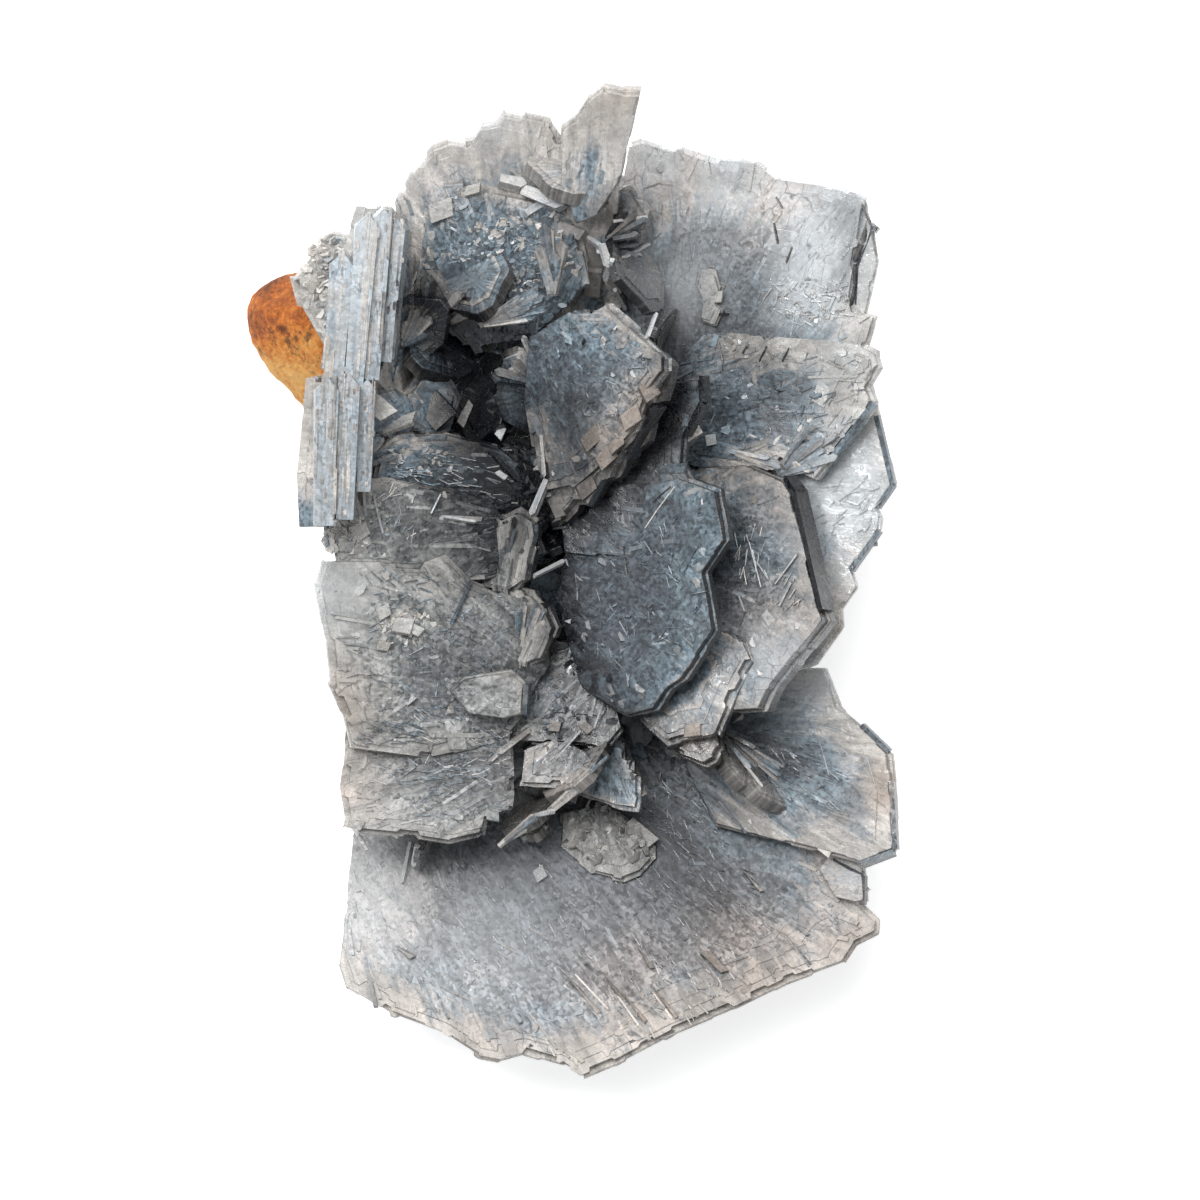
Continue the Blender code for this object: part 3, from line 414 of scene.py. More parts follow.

# %% [markdown]
# The colour of a blade depends on where one is on it: pale and clear at the free rim, where it grew
# last, blue further in, grey and cloudy inside, and smoky and darkened with painted shade down in the
# heart of the rosette, along the valleys between the blades and low down near the middle. The mesh
# carries this as a colour attribute, "growth": red is the distance in from the rim, green is the
# smoke with its painted shade, blue is how clear the crystal is, with painted light on some shaded
# places. A UV map, "growth_lines", holds the angle around the blade's buried root and the distance
# from it, so that the growth lines fan out towards the rim.

# %% Smoke and painted shade, clearness and painted light, and the growth attribute
# The valleys between the blades get painted shade, with smoke: the lines below darken the blades near
# them.
VALLEYS = [  # dark lines: their points as seen from above, how far they reach in mm, and how dark
    ([(-13, 27), (-10, 22), (-9, 14), (-7, 10)], 4.3, 1.0),
    ([(-18, -41), (-6, -45), (2, -44)], 5.0, 0.14),
    ([(-7, 10), (-3, 4), (-1, -2), (0, -8), (5, -13), (8, -17)], 3.9, 0.95),
    ([(5, 36), (6, 30), (11, 23), (9, 14), (3, 8), (-2, 4)], 3.0, 0.8),
    ([(-16, -26), (-12, -26.5), (-5, -22.5), (4, -21.5), (11, -17)], 2.2, 0.5),
    ([(-12, 12), (-5, 8)], 3.2, 0.6), ([(-13, 7), (-6, 5), (-5, -1)], 3.0, 0.5),
    ([(8, 8), (6, -8)], 6.0, 0.35), ([(10, 27), (20, 20)], 7.0, 0.6), ([(15, 8), (19, -6)], 5.0, 0.35),
    ([(-11, 10), (-9, 8), (-8, 2)], 5.0, 0.75), ([(12, -30), (19, -31)], 7.0, 0.45),
    ([(-3, 18), (-3, 9)], 4.6, 0.8), ([(0, 17), (1, 9)], 4.0, 0.8), ([(-15, 1), (-9, 0)], 4.0, 0.45),
    ([(1, -12), (0, -15)], 3.6, 0.7), ([(9, -24), (14, -30)], 6.5, 0.72),
    ([(20.5, 8), (21, 0)], 3.0, 0.35), ([(3, -31), (14, -36)], 8.0, 0.3),
    ([(5, 20), (6, 14)], 3.0, 0.35), ([(8, -24), (18, -26)], 5.0, 0.5), ([(4, 22), (5, 12)], 4.0, 0.35),
    ([(16, -14), (22, -17)], 3.0, 0.6), ([(-14, -16), (-8, -17)], 1.6, 0.5),
    ([(-13, -18), (-6, -20)], 4.5, 0.32), ([(19, 28.5), (19.6, 27.5)], 2.0, 0.5),
    ([(0, 44), (-2, 30)], 3.0, 0.25), ([(24, -13), (25, -24)], 5.0, 0.28),
    ([(3, 13), (5, 8)], 4.0, 0.4), ([(20, 28), (19, 23)], 4.0, 0.35), ([(-16, 5), (-12, 3)], 4.0, 0.35),
    ([(13, 12), (17, 10)], 4.0, 0.45), ([(-6, -28), (5, -25), (12, -24)], 5.0, 0.3),
    ([(11, -17), (15, -24)], 4.6, 0.5), ([(18, 28.5), (19, 28.0)], 1.8, 0.55),
]
# Some of these are painted light: they lift spots in the shade of blades above, such as those at (24.5,
# -9), (21, -8), (-20, -31) and (11, 30).
CLEAR_AND_LIT_SPOTS = [  # clear places as seen from above: x, y, how far they reach in mm, and how clear
    (26.5, 36.0, 5.0, 1.0), (26.0, 31.0, 5.0, 0.9), (22.5, 28.0, 3.0, 0.5), (28.5, 8.0, 5.0, 1.0),
    (28.5, -29.5, 2.4, 0.5), (-20.0, -31.0, 6.0, 0.45), (-8.0, -35.0, 7.0, 0.15), (26.5, 1.5, 2.5, 0.6),
    (28.0, 13.0, 3.4, 0.9), (27.0, 22.0, 3.0, 0.45), (9.0, 42.5, 4.0, 0.7), (16.0, 41.0, 4.5, 0.8),
    (-9.0, 46.0, 4.0, 0.6), (24.5, -9.0, 3.2, 0.6), (-24.5, -0.5, 4.0, 0.5), (20.5, 40.0, 4.0, 0.5),
    (-20.0, 36.0, 4.0, 0.35), (26.0, 15.0, 3.0, 0.3), (-14.0, 42.0, 3.5, 0.3), (21.0, -8.0, 4.0, 0.4),
    (11.0, 30.0, 4.5, 0.3),
]
TANS = [  # tan places in the same way
    (6.0, -41.0, 7.0, 0.6), (18.0, -37.0, 7.0, 0.8), (27.0, -34.0, 5.0, 0.8), (11.0, 41.0, 5.0, 0.8),
    (20.0, 38.0, 5.0, 0.8), (31.0, -20.0, 2.4, 1.0), (28.0, -30.5, 1.6, 0.8), (5.0, 14.0, 4.0, 0.6),
    (7.0, 18.0, 3.0, 0.6), (21.0, -4.0, 4.5, 0.7), (20.0, 8.0, 3.0, 0.6), (-2.0, -17.5, 4.0, 0.5),
    (0.0, -14.0, 3.0, 0.3), (12.0, -16.0, 3.0, 0.5), (-12.0, 44.0, 5.0, 0.6), (5.5, 46.0, 3.0, 0.7),
    (5.0, 36.0, 2.5, 0.5), (-8.0, -45.0, 6.0, 0.45), (-17.0, -41.0, 5.0, 0.4), (2.0, -45.0, 5.0, 0.45),
    (-20.0, -32.0, 7.0, 0.75), (-23.0, -12.0, 4.0, 0.7), (-22.0, -20.0, 4.0, 0.7),
    (-10.0, -40.0, 6.0, 0.3), (12.0, -42.0, 5.0, 0.5),
]
ZONE_DEPTH = 12.0  # mm in from the rim at which a blade is as cloudy as it gets
HEART = Vector((-1.0, 2.0))  # the place that the blades spring from, seen from above
# Painted shade, with smoke, darkens the lower parts near the middle, where the hollows are.
LOW_FROM, LOW_OVER = 14.0, 10.0  # mm: under this height it gets smokier, over this drop
LOW_REACH = (22.0, 30.0)  # mm from the middle in X and Y at which the lower parts are clear again
LOW_SMOKE_AND_SHADE = 1.2
# Painted shade, with smoke, also darkens the middle of the rosette.
MIDDLE, MIDDLE_SPREAD = (-1.0, 4.0), (200.0, 600.0)  # the smoke over the middle: mm, and mm squared
MIDDLE_SMOKE_AND_SHADE = 0.38
MOST_SMOKE_AND_SHADE = 1.3


def spots(places, x, y):
    """How much of a list of places reaches a point, from 0 to 1."""
    most = 0.0
    for px, py, reach, strength in places:
        away = ((x - px) ** 2 + (y - py) ** 2) / reach**2
        if away < 5.0:
            most = max(most, strength * math.exp(-away))
    return most


def valleys(x, y):
    """How much smoke and painted shade there is so near to the valley lines."""
    most = 0.0
    for points, reach, strength in VALLEYS:
        for (ax, ay), (bx, by) in zip(points, points[1:]):
            run = (bx - ax) ** 2 + (by - ay) ** 2
            share = min(1.0, max(0.0, ((x - ax) * (bx - ax) + (y - ay) * (by - ay)) / run))
            aside = (x - ax - share * (bx - ax)) ** 2 + (y - ay - share * (by - ay)) ** 2
            away = aside / reach**2
            if away < 6.0:
                most = max(most, strength * math.exp(-away))
    return most


def fresh():
    """An empty bmesh with the layers that every crystal carries."""
    edit = bmesh.new()
    edit.verts.layers.float_color.new("growth")
    edit.verts.layers.float_vector.new("lines")
    return edit


def mark(edit, verts, zones, lines, clearer=0.0, smokier=0.0, tanner=0.0):
    """Writes the growth attribute and keeps the coordinates of the growth lines."""
    growth = edit.verts.layers.float_color["growth"]
    kept = edit.verts.layers.float_vector["lines"]
    extra = smokier if isinstance(smokier, list) else [smokier] * len(verts)
    for vert, zone, line, darker in zip(verts, zones, lines, extra):
        x, y = vert.co.x, vert.co.y
        low = max(0.0, min(1.0, (LOW_FROM - vert.co.z) / LOW_OVER))
        inner = max(0.0, 1.0 - math.hypot(x / LOW_REACH[0], y / LOW_REACH[1]))
        heart = MIDDLE_SMOKE_AND_SHADE * math.exp(-((x - MIDDLE[0]) ** 2 / MIDDLE_SPREAD[0]
                                          + (y - MIDDLE[1]) ** 2 / MIDDLE_SPREAD[1]))
        # Smoke and painted shade: near the valleys, low down near the middle, over the middle, plus
        # what the piece adds.
        smoke_and_shade = max(valleys(x, y), LOW_SMOKE_AND_SHADE * low * inner, heart) + darker
        clear = spots(CLEAR_AND_LIT_SPOTS, x, y) + clearer
        tan = spots(TANS, x, y) + tanner
        vert[growth] = (min(1.0, max(0.0, zone / ZONE_DEPTH)), min(MOST_SMOKE_AND_SHADE, max(0.0, smoke_and_shade)),
                        min(1.0, max(0.0, clear)), min(1.0, max(0.0, tan)))
        vert[kept] = (line[0], line[1], 0.0)


# %% [markdown]
# A real blade is not one slab. It grew as a pile of thin layers, each a little smaller than the one
# below, and every layer ends in blocks and steps that follow the crystal's own directions. A flat
# slab with a painted rim would look like cut card, so each blade is a pile of slabs, each with a
# frayed outline of its own.

# %% Fraying an outline, shrinking it and measuring from its rim
def frayed(outline, draw, run=(1.0, 3.6), depth=0.7):
    """The outline with square blocks broken out of it, so that it never reaches further out."""
    made = []
    for start, end in zip(outline, outline[1:] + outline[:1]):
        start, end = Vector(start), Vector(end)
        way = end - start
        length = way.length
        way.normalize()
        inward = Vector((-way.y, way.x))
        at = 0.0
        while at < length - 0.3:
            back = depth * draw.choice((0.0, 0.0, 0.25, 0.5, 1.0))
            stop = min(length, at + draw.uniform(*run))
            made.append(start + way * (at + 0.08) + inward * back)
            made.append(start + way * (stop - draw.uniform(0.08, 0.3)) + inward * back)
            at = stop
    return made


def turns_left(outline):
    """Whether an outline runs against the clock."""
    return sum(a[0] * b[1] - b[0] * a[1] for a, b in zip(outline, outline[1:] + outline[:1])) > 0


def shrunk(outline, inset, pivot):
    """The outline drawn in towards a pivot by about the inset, in mm."""
    reach = sum((Vector(point) - pivot).length for point in outline) / len(outline)
    share = max(0.25, 1.0 - inset / reach)
    return [tuple(pivot + (Vector(point) - pivot) * share) for point in outline]


def rim_distance(points, outline, root=None):
    """How far each point is from the rim. Sides that face the root are buried and don't count."""
    points = np.asarray(points, dtype=float).reshape(-1, 1, 2)
    starts = np.asarray([tuple(point) for point in outline], dtype=float)
    runs = np.roll(starts, -1, axis=0) - starts
    if root is not None:
        middle = starts.mean(axis=0)
        sides = starts + runs / 2 - middle
        towards = np.asarray(tuple(root)) - middle
        facing = (sides @ towards) / (np.hypot(*sides.T) * np.hypot(*towards) + 1e-9)
        free = facing < 0.45
        if free.any():
            starts, runs = starts[free], runs[free]
    lengths = np.maximum((runs**2).sum(axis=1), 1e-12)
    share = np.clip(((points - starts) * runs).sum(axis=2) / lengths, 0.0, 1.0)
    away = points - (starts + runs * share[..., None])
    return np.sqrt((away**2).sum(axis=2)).min(axis=1)


def fan_lines(points, root, short=1.0):
    """For each point, the way around the root in mm of arc, and the way out from it."""
    made = []
    reach = max(12.0, math.hypot(*root))
    for x, y in points:
        out = Vector((x - root[0], y - root[1]))
        made.append((math.atan2(out.y, out.x) * reach, out.length * short))
    return made


# %% [markdown]
# One layer of a blade starts as a single flat face. Extruding it makes a closed slab, a fine bevel
# takes the edge off its rim so that it catches a line of light, and a series of straight cuts
# divides it into a grid, which carries the colours and is pushed about a little, since no crystal
# face is a perfect mirror. The very edge is also painted pale, a painted highlight, and the sides
# and underside get painted shade.

# %% One growth layer
# Painted shade on the side and under faces of every slab, and more on the blades listed below.
WALL_SHADE = 0.35  # looked at along the plate, a side face is darker than the top
SHADED_WALLS = {"middle_right": 1.2, "thick_right": 0.9, "shadowed_right": 0.9}


def cut_through(edit, place, normal, **more):
    """Cuts a whole bmesh along a plane."""
    everything = edit.verts[:] + edit.edges[:] + edit.faces[:]
    return bmesh.ops.bisect_plane(edit, geom=everything, dist=1e-5, plane_co=place,
                                  plane_no=normal, **more)


def layer(outline, low, high, placed, grid, root, bevel=0.09, uneven=0.10, inset=0.0, short=1.0,
          smokier=0.0, cloudy=0.0, wall=WALL_SHADE, **looks):
    """A closed slab between two heights over the blade's plane, cut into a grid."""
    edit = fresh()
    base = edit.faces.new([edit.verts.new((point[0], point[1], low)) for point in outline])
    raised = bmesh.ops.extrude_face_region(edit, geom=[base])
    top = [item for item in raised["geom"] if isinstance(item, bmesh.types.BMVert)]
    bmesh.ops.translate(edit, verts=top, vec=(0.0, 0.0, high - low))
    bmesh.ops.recalc_face_normals(edit, faces=edit.faces)
    if bevel:
        rim = [edge for edge in edit.edges if all(vert.co.z > high - 1e-6 for vert in edge.verts)]
        bmesh.ops.bevel(edit, geom=rim, offset=bevel, offset_type="OFFSET", affect="EDGES",
                        segments=1, profile=0.5, material=-1, clamp_overlap=True)
    for axis in (0, 1):
        reach = [point[axis] for point in outline]
        at = min(reach) + grid * 0.5
        while at < max(reach):
            place = (at, 0.0, 0.0) if axis == 0 else (0.0, at, 0.0)
            normal = (1.0, 0.0, 0.0) if axis == 0 else (0.0, 1.0, 0.0)
            cut_through(edit, place, normal)
            at += grid
    verts = edit.verts[:]
    flat = [(vert.co.x, vert.co.y) for vert in verts]
    away = rim_distance(flat, outline, root)
    # Side and under faces get the painted shade of the walls.
    darker = []
    for vert in verts:
        on_top = vert.co.z > high - 1e-4
        darker.append(smokier + (0.0 if on_top else wall))
        if on_top:
            vert.co.z += uneven * noise.noise(Vector((vert.co.x, vert.co.y, high * 9.0)) * 0.35)
    bmesh.ops.transform(edit, matrix=placed, verts=verts)
    lines = fan_lines(flat, root or (0.0, 0.0), short)
    # The very edge is painted pale, however cloudy the blade is: a painted highlight, a fine line of
    # light.
    zones = np.where(away < 0.04, 0.6 * inset + 0.2 * cloudy, away + inset + cloudy)
    mark(edit, verts, zones, lines, smokier=darker, **looks)
    return edit


def poured(into, edit):
    """Adds one bmesh to another."""
    carried = bpy.data.meshes.new("carried")
    edit.to_mesh(carried)
    edit.free()
    into.from_mesh(carried)
    bpy.data.meshes.remove(carried)


# %% [markdown]
# Three kinds of small crystal lie on the faces. Blocks are later growth of the same blade: they
# share its directions, so they are flat parallelograms at the angle of barite's prism faces and only
# their steps show. Laths are long and thin and point away from the buried root, like the barbs of a
# feather. Flakes are crystals of their own and lie at any angle. Each is one operator call, so
# thousands of them stay cheap, and each is a little darker or paler than the next.

# %% Blocks, laths and flakes on a face
PRISM_ANGLE = math.radians(78.3)


def inside(outline, x, y):
    """Whether a point is inside an outline."""
    crossings = 0
    for (ax, ay), (bx, by) in zip(outline, outline[1:] + outline[:1]):
        if (ay > y) != (by > y) and x < ax + (y - ay) * (bx - ax) / (by - ay):
            crossings += 1
    return crossings % 2 == 1


def places_inside(outline, draw, count):
    """Random places inside an outline."""
    low = [min(reach) for reach in zip(*outline)]
    high = [max(reach) for reach in zip(*outline)]
    places = []
    while len(places) < count:
        x, y = draw.uniform(low[0], high[0]), draw.uniform(low[1], high[1])
        if inside(outline, x, y):
            places.append((x, y))
    return places


def tilted(draw, most):
    """A small random tilt, in degrees."""
    first = Matrix.Rotation(math.radians(draw.gauss(0, most)), 4, "X")
    return first @ Matrix.Rotation(math.radians(draw.gauss(0, most)), 4, "Y")


def sheared_box(into, here, long, wide, thick):
    """A flat parallelogram at the prism angle, centred on a place."""
    shear = Matrix.Identity(4)
    shear[0][1] = 1.0 / math.tan(PRISM_ANGLE)
    stretch = Matrix.Diagonal((long / 1.41, wide / 1.41, 1.0, 1.0))
    return bmesh.ops.create_cone(
        into, cap_ends=True, segments=4, radius1=1.0, radius2=0.95, depth=thick,
        matrix=here @ shear @ stretch @ Matrix.Rotation(math.pi / 4, 4, "Z"))["verts"]


def six_sided(into, radius, thick, here):
    """A low six-sided tablet, a little smaller on top."""
    return bmesh.ops.create_cone(into, cap_ends=True, segments=6, radius1=radius,
                                 radius2=radius * 0.92, depth=thick, matrix=here)["verts"]


def strewn(outline, draw, count, root):
    """Random places inside an outline, each with its way in from the rim and its growth line."""
    places = places_inside(outline, draw, count)
    if not places:
        return []
    return zip(places, rim_distance(places, outline, root), fan_lines(places, root))


def blocks(into, outline, placed, draw, count, size, lift, angle, root, cloudy):
    """Flat parallelograms that share the blade's directions."""
    for (x, y), inward, line in strewn(outline, draw, count, root):
        long = size[0] + (size[1] - size[0]) * draw.random() ** 2.5
        turned = Matrix.Rotation(angle + draw.choice((0.0, PRISM_ANGLE)), 4, "Z")
        here = placed @ Matrix.Translation((x, y, lift)) @ tilted(draw, 1.8) @ turned
        verts = sheared_box(into, here, long, long * draw.uniform(0.25, 0.6), draw.uniform(0.25, 0.5))
        mark(into, verts, [inward + cloudy] * 8, [line] * 8, smokier=draw.gauss(0.0, 0.08))


def laths(into, outline, placed, draw, count, lift, root, cloudy):
    """Long thin crystals that point away from the root."""
    for (x, y), inward, line in strewn(outline, draw, count, root):
        long = min(draw.uniform(1.0, 5.5), 1.8 * inward + 1.0)
        way = math.atan2(y - root[1], x - root[0]) + math.radians(draw.gauss(0, 12.0))
        here = placed @ Matrix.Translation((x, y, lift)) @ Matrix.Rotation(way, 4, "Z")
        verts = sheared_box(into, here @ tilted(draw, 2.0), long, draw.uniform(0.12, 0.5),
                            draw.uniform(0.2, 0.4))
        mark(into, verts, [inward + cloudy + draw.gauss(0.0, 1.0)] * 8, [line] * 8,
             smokier=draw.gauss(0.05, 0.12), clearer=max(0.0, draw.gauss(-0.2, 0.15)))


def flakes(into, outline, placed, draw, count, size, lift, tilt, root, cloudy):
    """Low six-sided tablets that lie on a face, or stand up from it, at any angle."""
    for (x, y), inward, _ in strewn(outline, draw, count, root):
        radius = draw.uniform(*size) / 2
        turned = Matrix.Rotation(draw.uniform(0, math.tau), 4, "Z")
        stretch = Matrix.Diagonal((1.0, draw.uniform(0.4, 0.8), 1.0, 1.0))
        here = placed @ Matrix.Translation((x, y, lift)) @ tilted(draw, tilt) @ turned @ stretch
        verts = six_sided(into, radius, radius * draw.uniform(0.15, 0.35), here)
        seed = draw.uniform(0, 60)
        mark(into, verts, [inward + cloudy + draw.gauss(0.0, 1.5)] * 12,
             [(seed, seed)] * 12, smokier=draw.gauss(0.0, 0.12),
             clearer=max(0.0, draw.gauss(-0.2, 0.15)))


# %% [markdown]
# A finished crystal piece has its growth lines moved into a UV map and its millimetres turned into
# metres. Every piece is held inside the room that was measured at the start.

# %% Finishing a crystal piece
crystal_pieces = []


def settled(edit, name, material, replaced):
    """Turns a bmesh in mm into an object in metres that rides on the specimen."""
    for vert in edit.verts:
        for axis in range(3):
            vert.co[axis] = min(max(vert.co[axis], ROOM[0][axis]), ROOM[1][axis]) * MM
    mesh = bpy.data.meshes.new(name)
    edit.to_mesh(mesh)
    edit.free()
    mesh.materials.append(material)
    piece = in_scene(name, mesh)
    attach(piece, "root")
    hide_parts(replaced)
    return piece


def finished(edit, name, material):
    """Finishes a piece of barite."""
    kept = edit.verts.layers.float_vector["lines"]
    chart = edit.loops.layers.uv.new("growth_lines")
    for face in edit.faces:
        for loop in face.loops:
            loop[chart].uv = (loop.vert[kept].x / 10.0, loop.vert[kept].y / 10.0)
    edit.verts.layers.float_vector.remove(kept)
    piece = settled(edit, name, material, "crystal_cluster")
    crystal_pieces.append(piece)
    return piece


# %% [markdown]
# ## The blades of the face
#
# Every blade is a pile of layers. The lowest has the full outline, the next ones step in from the
# rim, and the last is thin. All of them are drawn in towards the blade's buried end, so that the
# steps show where the blade is free. How the blades look differs: some are crisp and nearly bare,
# others fuzzy with laths, so a table gives each its own figures.

# %% How each face blade looks
PALE = {"left_lobe", "left_foot", "left_bank_low", "perched_tablet", "left_lobes", "pale_patch",
        "druse_tab", "centre_leaf", "centre_leaf_low"}
ETCHED_BLADES = {"lower_fan", "lower_right", "window_tab"}  # their faces are matt
# A blade's darkness is partly smoke and partly painted shade, most on the blades that lie deep in the
# rosette or under others. On the left walls it is below zero: painted light on faces that the lamp
# leaves in shade.
LOOKS = {  # where its growth lines start, how short they are, how ragged its rim is in mm, how much
           # darker it is, and how many blocks, laths and flakes there are on a square mm
    "lower_fan": ((-40, 12), 1.6, 0.5, 0.05, (0.015, 0.25, 0.03)),
    "lower_right": ((4, -12), 1.6, 0.2, 0.10, (0.03, 0.15, 0.02)),
    "window_tab": ((20, -30), 3, 0.05, 0.0, (0, 0, 0)),
    "upper_right": ((6, 6), 1.4, 0.4, 0.0, (0.02, 0.08, 0.02)),
    "clear_sliver": ((10, 28), 2, 0.2, 0.0, (0, 0, 0)),
    "right_window": ((10, 8), 3.0, 0.2, 0.0, (0.05, 0.04, 0.0)),
    "right_upper": ((-4, 15), 3.0, 0.6, 0.05, (0.03, 0.16, 0.25)),
    "thick_right": ((0, 4), 4, 0.2, 0.18, (0.03, 0.15, 0.15)),
    "stepped_right": ((4, -4), 4, 0.5, 0.20, (0.15, 0.10, 0.10)),
    "right_knob": ((8, -8), 4, 0.3, 0.32, (0.2, 0.2, 0.1)),
    "middle_right": ((-8, 2), 4, 0.12, 0.06, (0.10, 0.20, 0.50)),
    "shadowed_right": ((-6, 10), 4, 0.3, 0.32, (0.10, 0.08, 0.06)),
    "crest": ((-12, 32), 4, 0.5, 0.05, (0.04, 0.12, 0.25)),
    "crest_base": ((-12, 32), 4, 0.7, 0.08, (0.12, 0.12, 0.20)),
    "top_spire": ((-2, 10), 1.0, 0.2, -0.1, (0.0, 0.06, 0.0)),
    "upper_left": ((-2, 12), 1.3, 0.6, -0.05, (0.04, 0.12, 0.0)),
    "upper_middle": ((-6, 18), 2, 0.8, 0.08, (0.05, 0.45, 0.90)),
    "left_lobes": ((-15, 24), 4, 0.6, -0.05, (0.05, 0.20, 1.40)),
    "left_wall": ((-19, -20), 1, 0.3, -0.1, (0.0, 0.40, 0.02)),
    "left_wall_low": ((-22, -30), 1, 0.3, -0.1, (0.0, 0.40, 0.02)),
    "left_bank": ((4, 9), 2, 0.5, 0.14, (0.05, 0.50, 0.20)),
    "left_bank_low": ((2, 7), 2.5, 0.5, 0.22, (0.05, 0.40, 0.25)),
    "left_lobe": ((2, -12), 2.0, 0.5, 0.06, (0.02, 0.15, 0.12)),
    "left_foot": ((4, -15), 1.5, 0.5, 0.2, (0.03, 0.15, 0.15)),
    "perched_tablet": ((-60, -14), 3, 0.03, 0.0, (0, 0, 0)),
    "brown_oval": ((2, -12), 3, 0.4, 0.3, (0.05, 0.3, 0.5)),
    "stair_tablet": ((2, -12), 3, 0.3, -0.12, (0.05, 0.3, 0.3)),
    "centre_leaf": ((-8, -6), 1, 0.4, -0.15, (0.1, 0.7, 0.0)),
    "centre_leaf_low": ((-7, -16), 1, 0.4, -0.15, (0.1, 0.7, 0.0)),
    "hidden_hexagon": ((-15, 14), 4, 0.05, 0.0, (0, 0, 0)),
    "recess_floor": ((-8, 15), 3, 0.6, 0.45, (0, 0.4, 1.0)),
    "druse_tab": ((2, -20), 4, 0.8, 0.2, (0.1, 0.1, 1.8)),
    "middle_floor": ((4, -6), 3, 0.4, 0.38, (0.05, 0.2, 0.5)),
}
USUAL_LOOK = (tuple(HEART), 3.0, 0.3, 0.05, (0.10, 0.15, 0.10))
CLOUDY = {  # blades that are cloudy up to the rim: by how many mm
    "middle_right": 5.0, "shadowed_right": 5.0, "crest": 2.0, "stepped_right": 2.5, "thick_right": 1.5,
    "left_bank": 4.0, "left_bank_low": 2.0, "recess_floor": 6.0, "upper_middle": 3.0, "brown_oval": 4.0,
    "stair_tablet": 3.0, "dark_block": 5.0, "hidden_hexagon": 5.0, "middle_floor": 3.0,
    "perched_tablet": 3.0, "bank_step": 3.0, "left_foot": 1.0, "left_lobe": 1.0}


LARGE, BROAD = 9, 20  # mm across from which a blade has a second thin layer, and two more
RAGGED = 0.25  # a blade less ragged than this has no thin layers


def blade_plane(anchor, rise):
    """The place of a face blade: its Z is the normal and its X points up its own slope in X."""
    normal = Vector((-rise[0], -rise[1], 1.0)).normalized()
    return frame_of(sighted(*anchor), (1.0, 0.0, rise[0]), normal)


def on_blade(anchor, rise, x, y):
    """The true place of what is seen at x, y on a blade."""
    return sighted(x, y, anchor[2] + rise[0] * (x - anchor[0]) + rise[1] * (y - anchor[1]))


def breadth(flat):
    """The wider way across an outline."""
    return max(max(reach) - min(reach) for reach in zip(*flat))


def main_direction(flat, root):
    """The angle of the longest side that doesn't face the root."""
    middle = Vector((sum(x for x, _ in flat), sum(y for _, y in flat))) / len(flat)
    best, angle = 0.0, 0.0
    for start, end in zip(flat, flat[1:] + flat[:1]):
        side = (Vector(start) + Vector(end)) / 2 - middle
        run = Vector(end) - Vector(start)
        if side.dot(Vector(root) - middle) < 0 and run.length > best:
            best, angle = run.length, math.atan2(run.y, run.x)
    return angle


# %% Building the face blades
def face_blade(name, anchor, rise, thickness, outline):
    """A pile of growth layers with blocks, laths and flakes on it."""
    draw = random.Random(name)
    placed = blade_plane(anchor, rise)
    back = placed.inverted()
    flat = [tuple((back @ on_blade(anchor, rise, x, y)).xy) for x, y in outline]
    if not turns_left(flat):
        flat.reverse()
    source, short, ragged, darker, shares = LOOKS.get(name, USUAL_LOOK)
    cloudy = CLOUDY.get(name, 0.0)
    root = tuple((back @ on_blade(anchor, rise, *source)).xy)
    middle = Vector((sum(x for x, _ in flat), sum(y for _, y in flat))) / len(flat)
    across = breadth(flat)
    towards = (Vector(root) - middle).normalized()
    pivot = middle + towards * across * 0.25
    large = across > LARGE
    # Each step is how far in it starts and its lower and upper height over the blade's plane.
    steps = [(0.0, -thickness, -0.5 * thickness), (0.25, -0.55 * thickness, 0.0)]
    if ragged >= RAGGED:
        steps += [(1.0, -0.05, 0.09), (2.6, 0.05, 0.17)] if large else [(0.9, -0.05, 0.1)]
        if across > BROAD:
            steps += [(5.0, 0.12, 0.21), (8.5, 0.15, 0.25)]
    edit = fresh()
    for number, (inset, low, high) in enumerate(steps):
        shift = Vector((draw.uniform(-1, 1), draw.uniform(-1, 1))) * across * 0.04 * number
        depth = ragged * (0.7 + 0.35 * number)
        rim = frayed(shrunk(flat, inset, pivot + shift), draw, run=(0.8, 2.0 + 5.0 * ragged),
                     depth=depth)
        poured(edit, layer(rim, low, high, placed, 1.2 if large else 0.8, root, inset=inset,
                           short=short, smokier=darker, cloudy=cloudy,
                           wall=SHADED_WALLS.get(name, WALL_SHADE)))
    area = across * min(max(reach) - min(reach) for reach in zip(*flat)) * 0.7
    angle = main_direction(flat, root)
    top = steps[-1][2] - 0.1
    patch = shrunk(flat, 1.0, pivot)
    counts = [int(area * share) for share in shares]
    blocks(edit, patch, placed, draw, counts[0], (0.6, 3.6), top - 0.15, angle, root, cloudy)
    laths(edit, patch, placed, draw, counts[1], top - 0.06, root, cloudy)
    flakes(edit, patch, placed, draw, counts[2], (0.4, 1.7), top, 20.0, root, cloudy)
    material = zoned_barite
    if name in PALE:
        material = pale_barite
    elif name in ETCHED_BLADES:
        material = etched_barite
    return finished(edit, name, material), flat, placed


built = {}
for name, (anchor, rise, thickness, outline) in BLADES.items():
    piece, flat, placed = face_blade(name, anchor, rise, thickness, outline)
    built[name] = (flat, placed)
print("triangles in the face blades:",
      sum(len(polygon.vertices) - 2 for piece in crystal_pieces for polygon in piece.data.polygons))
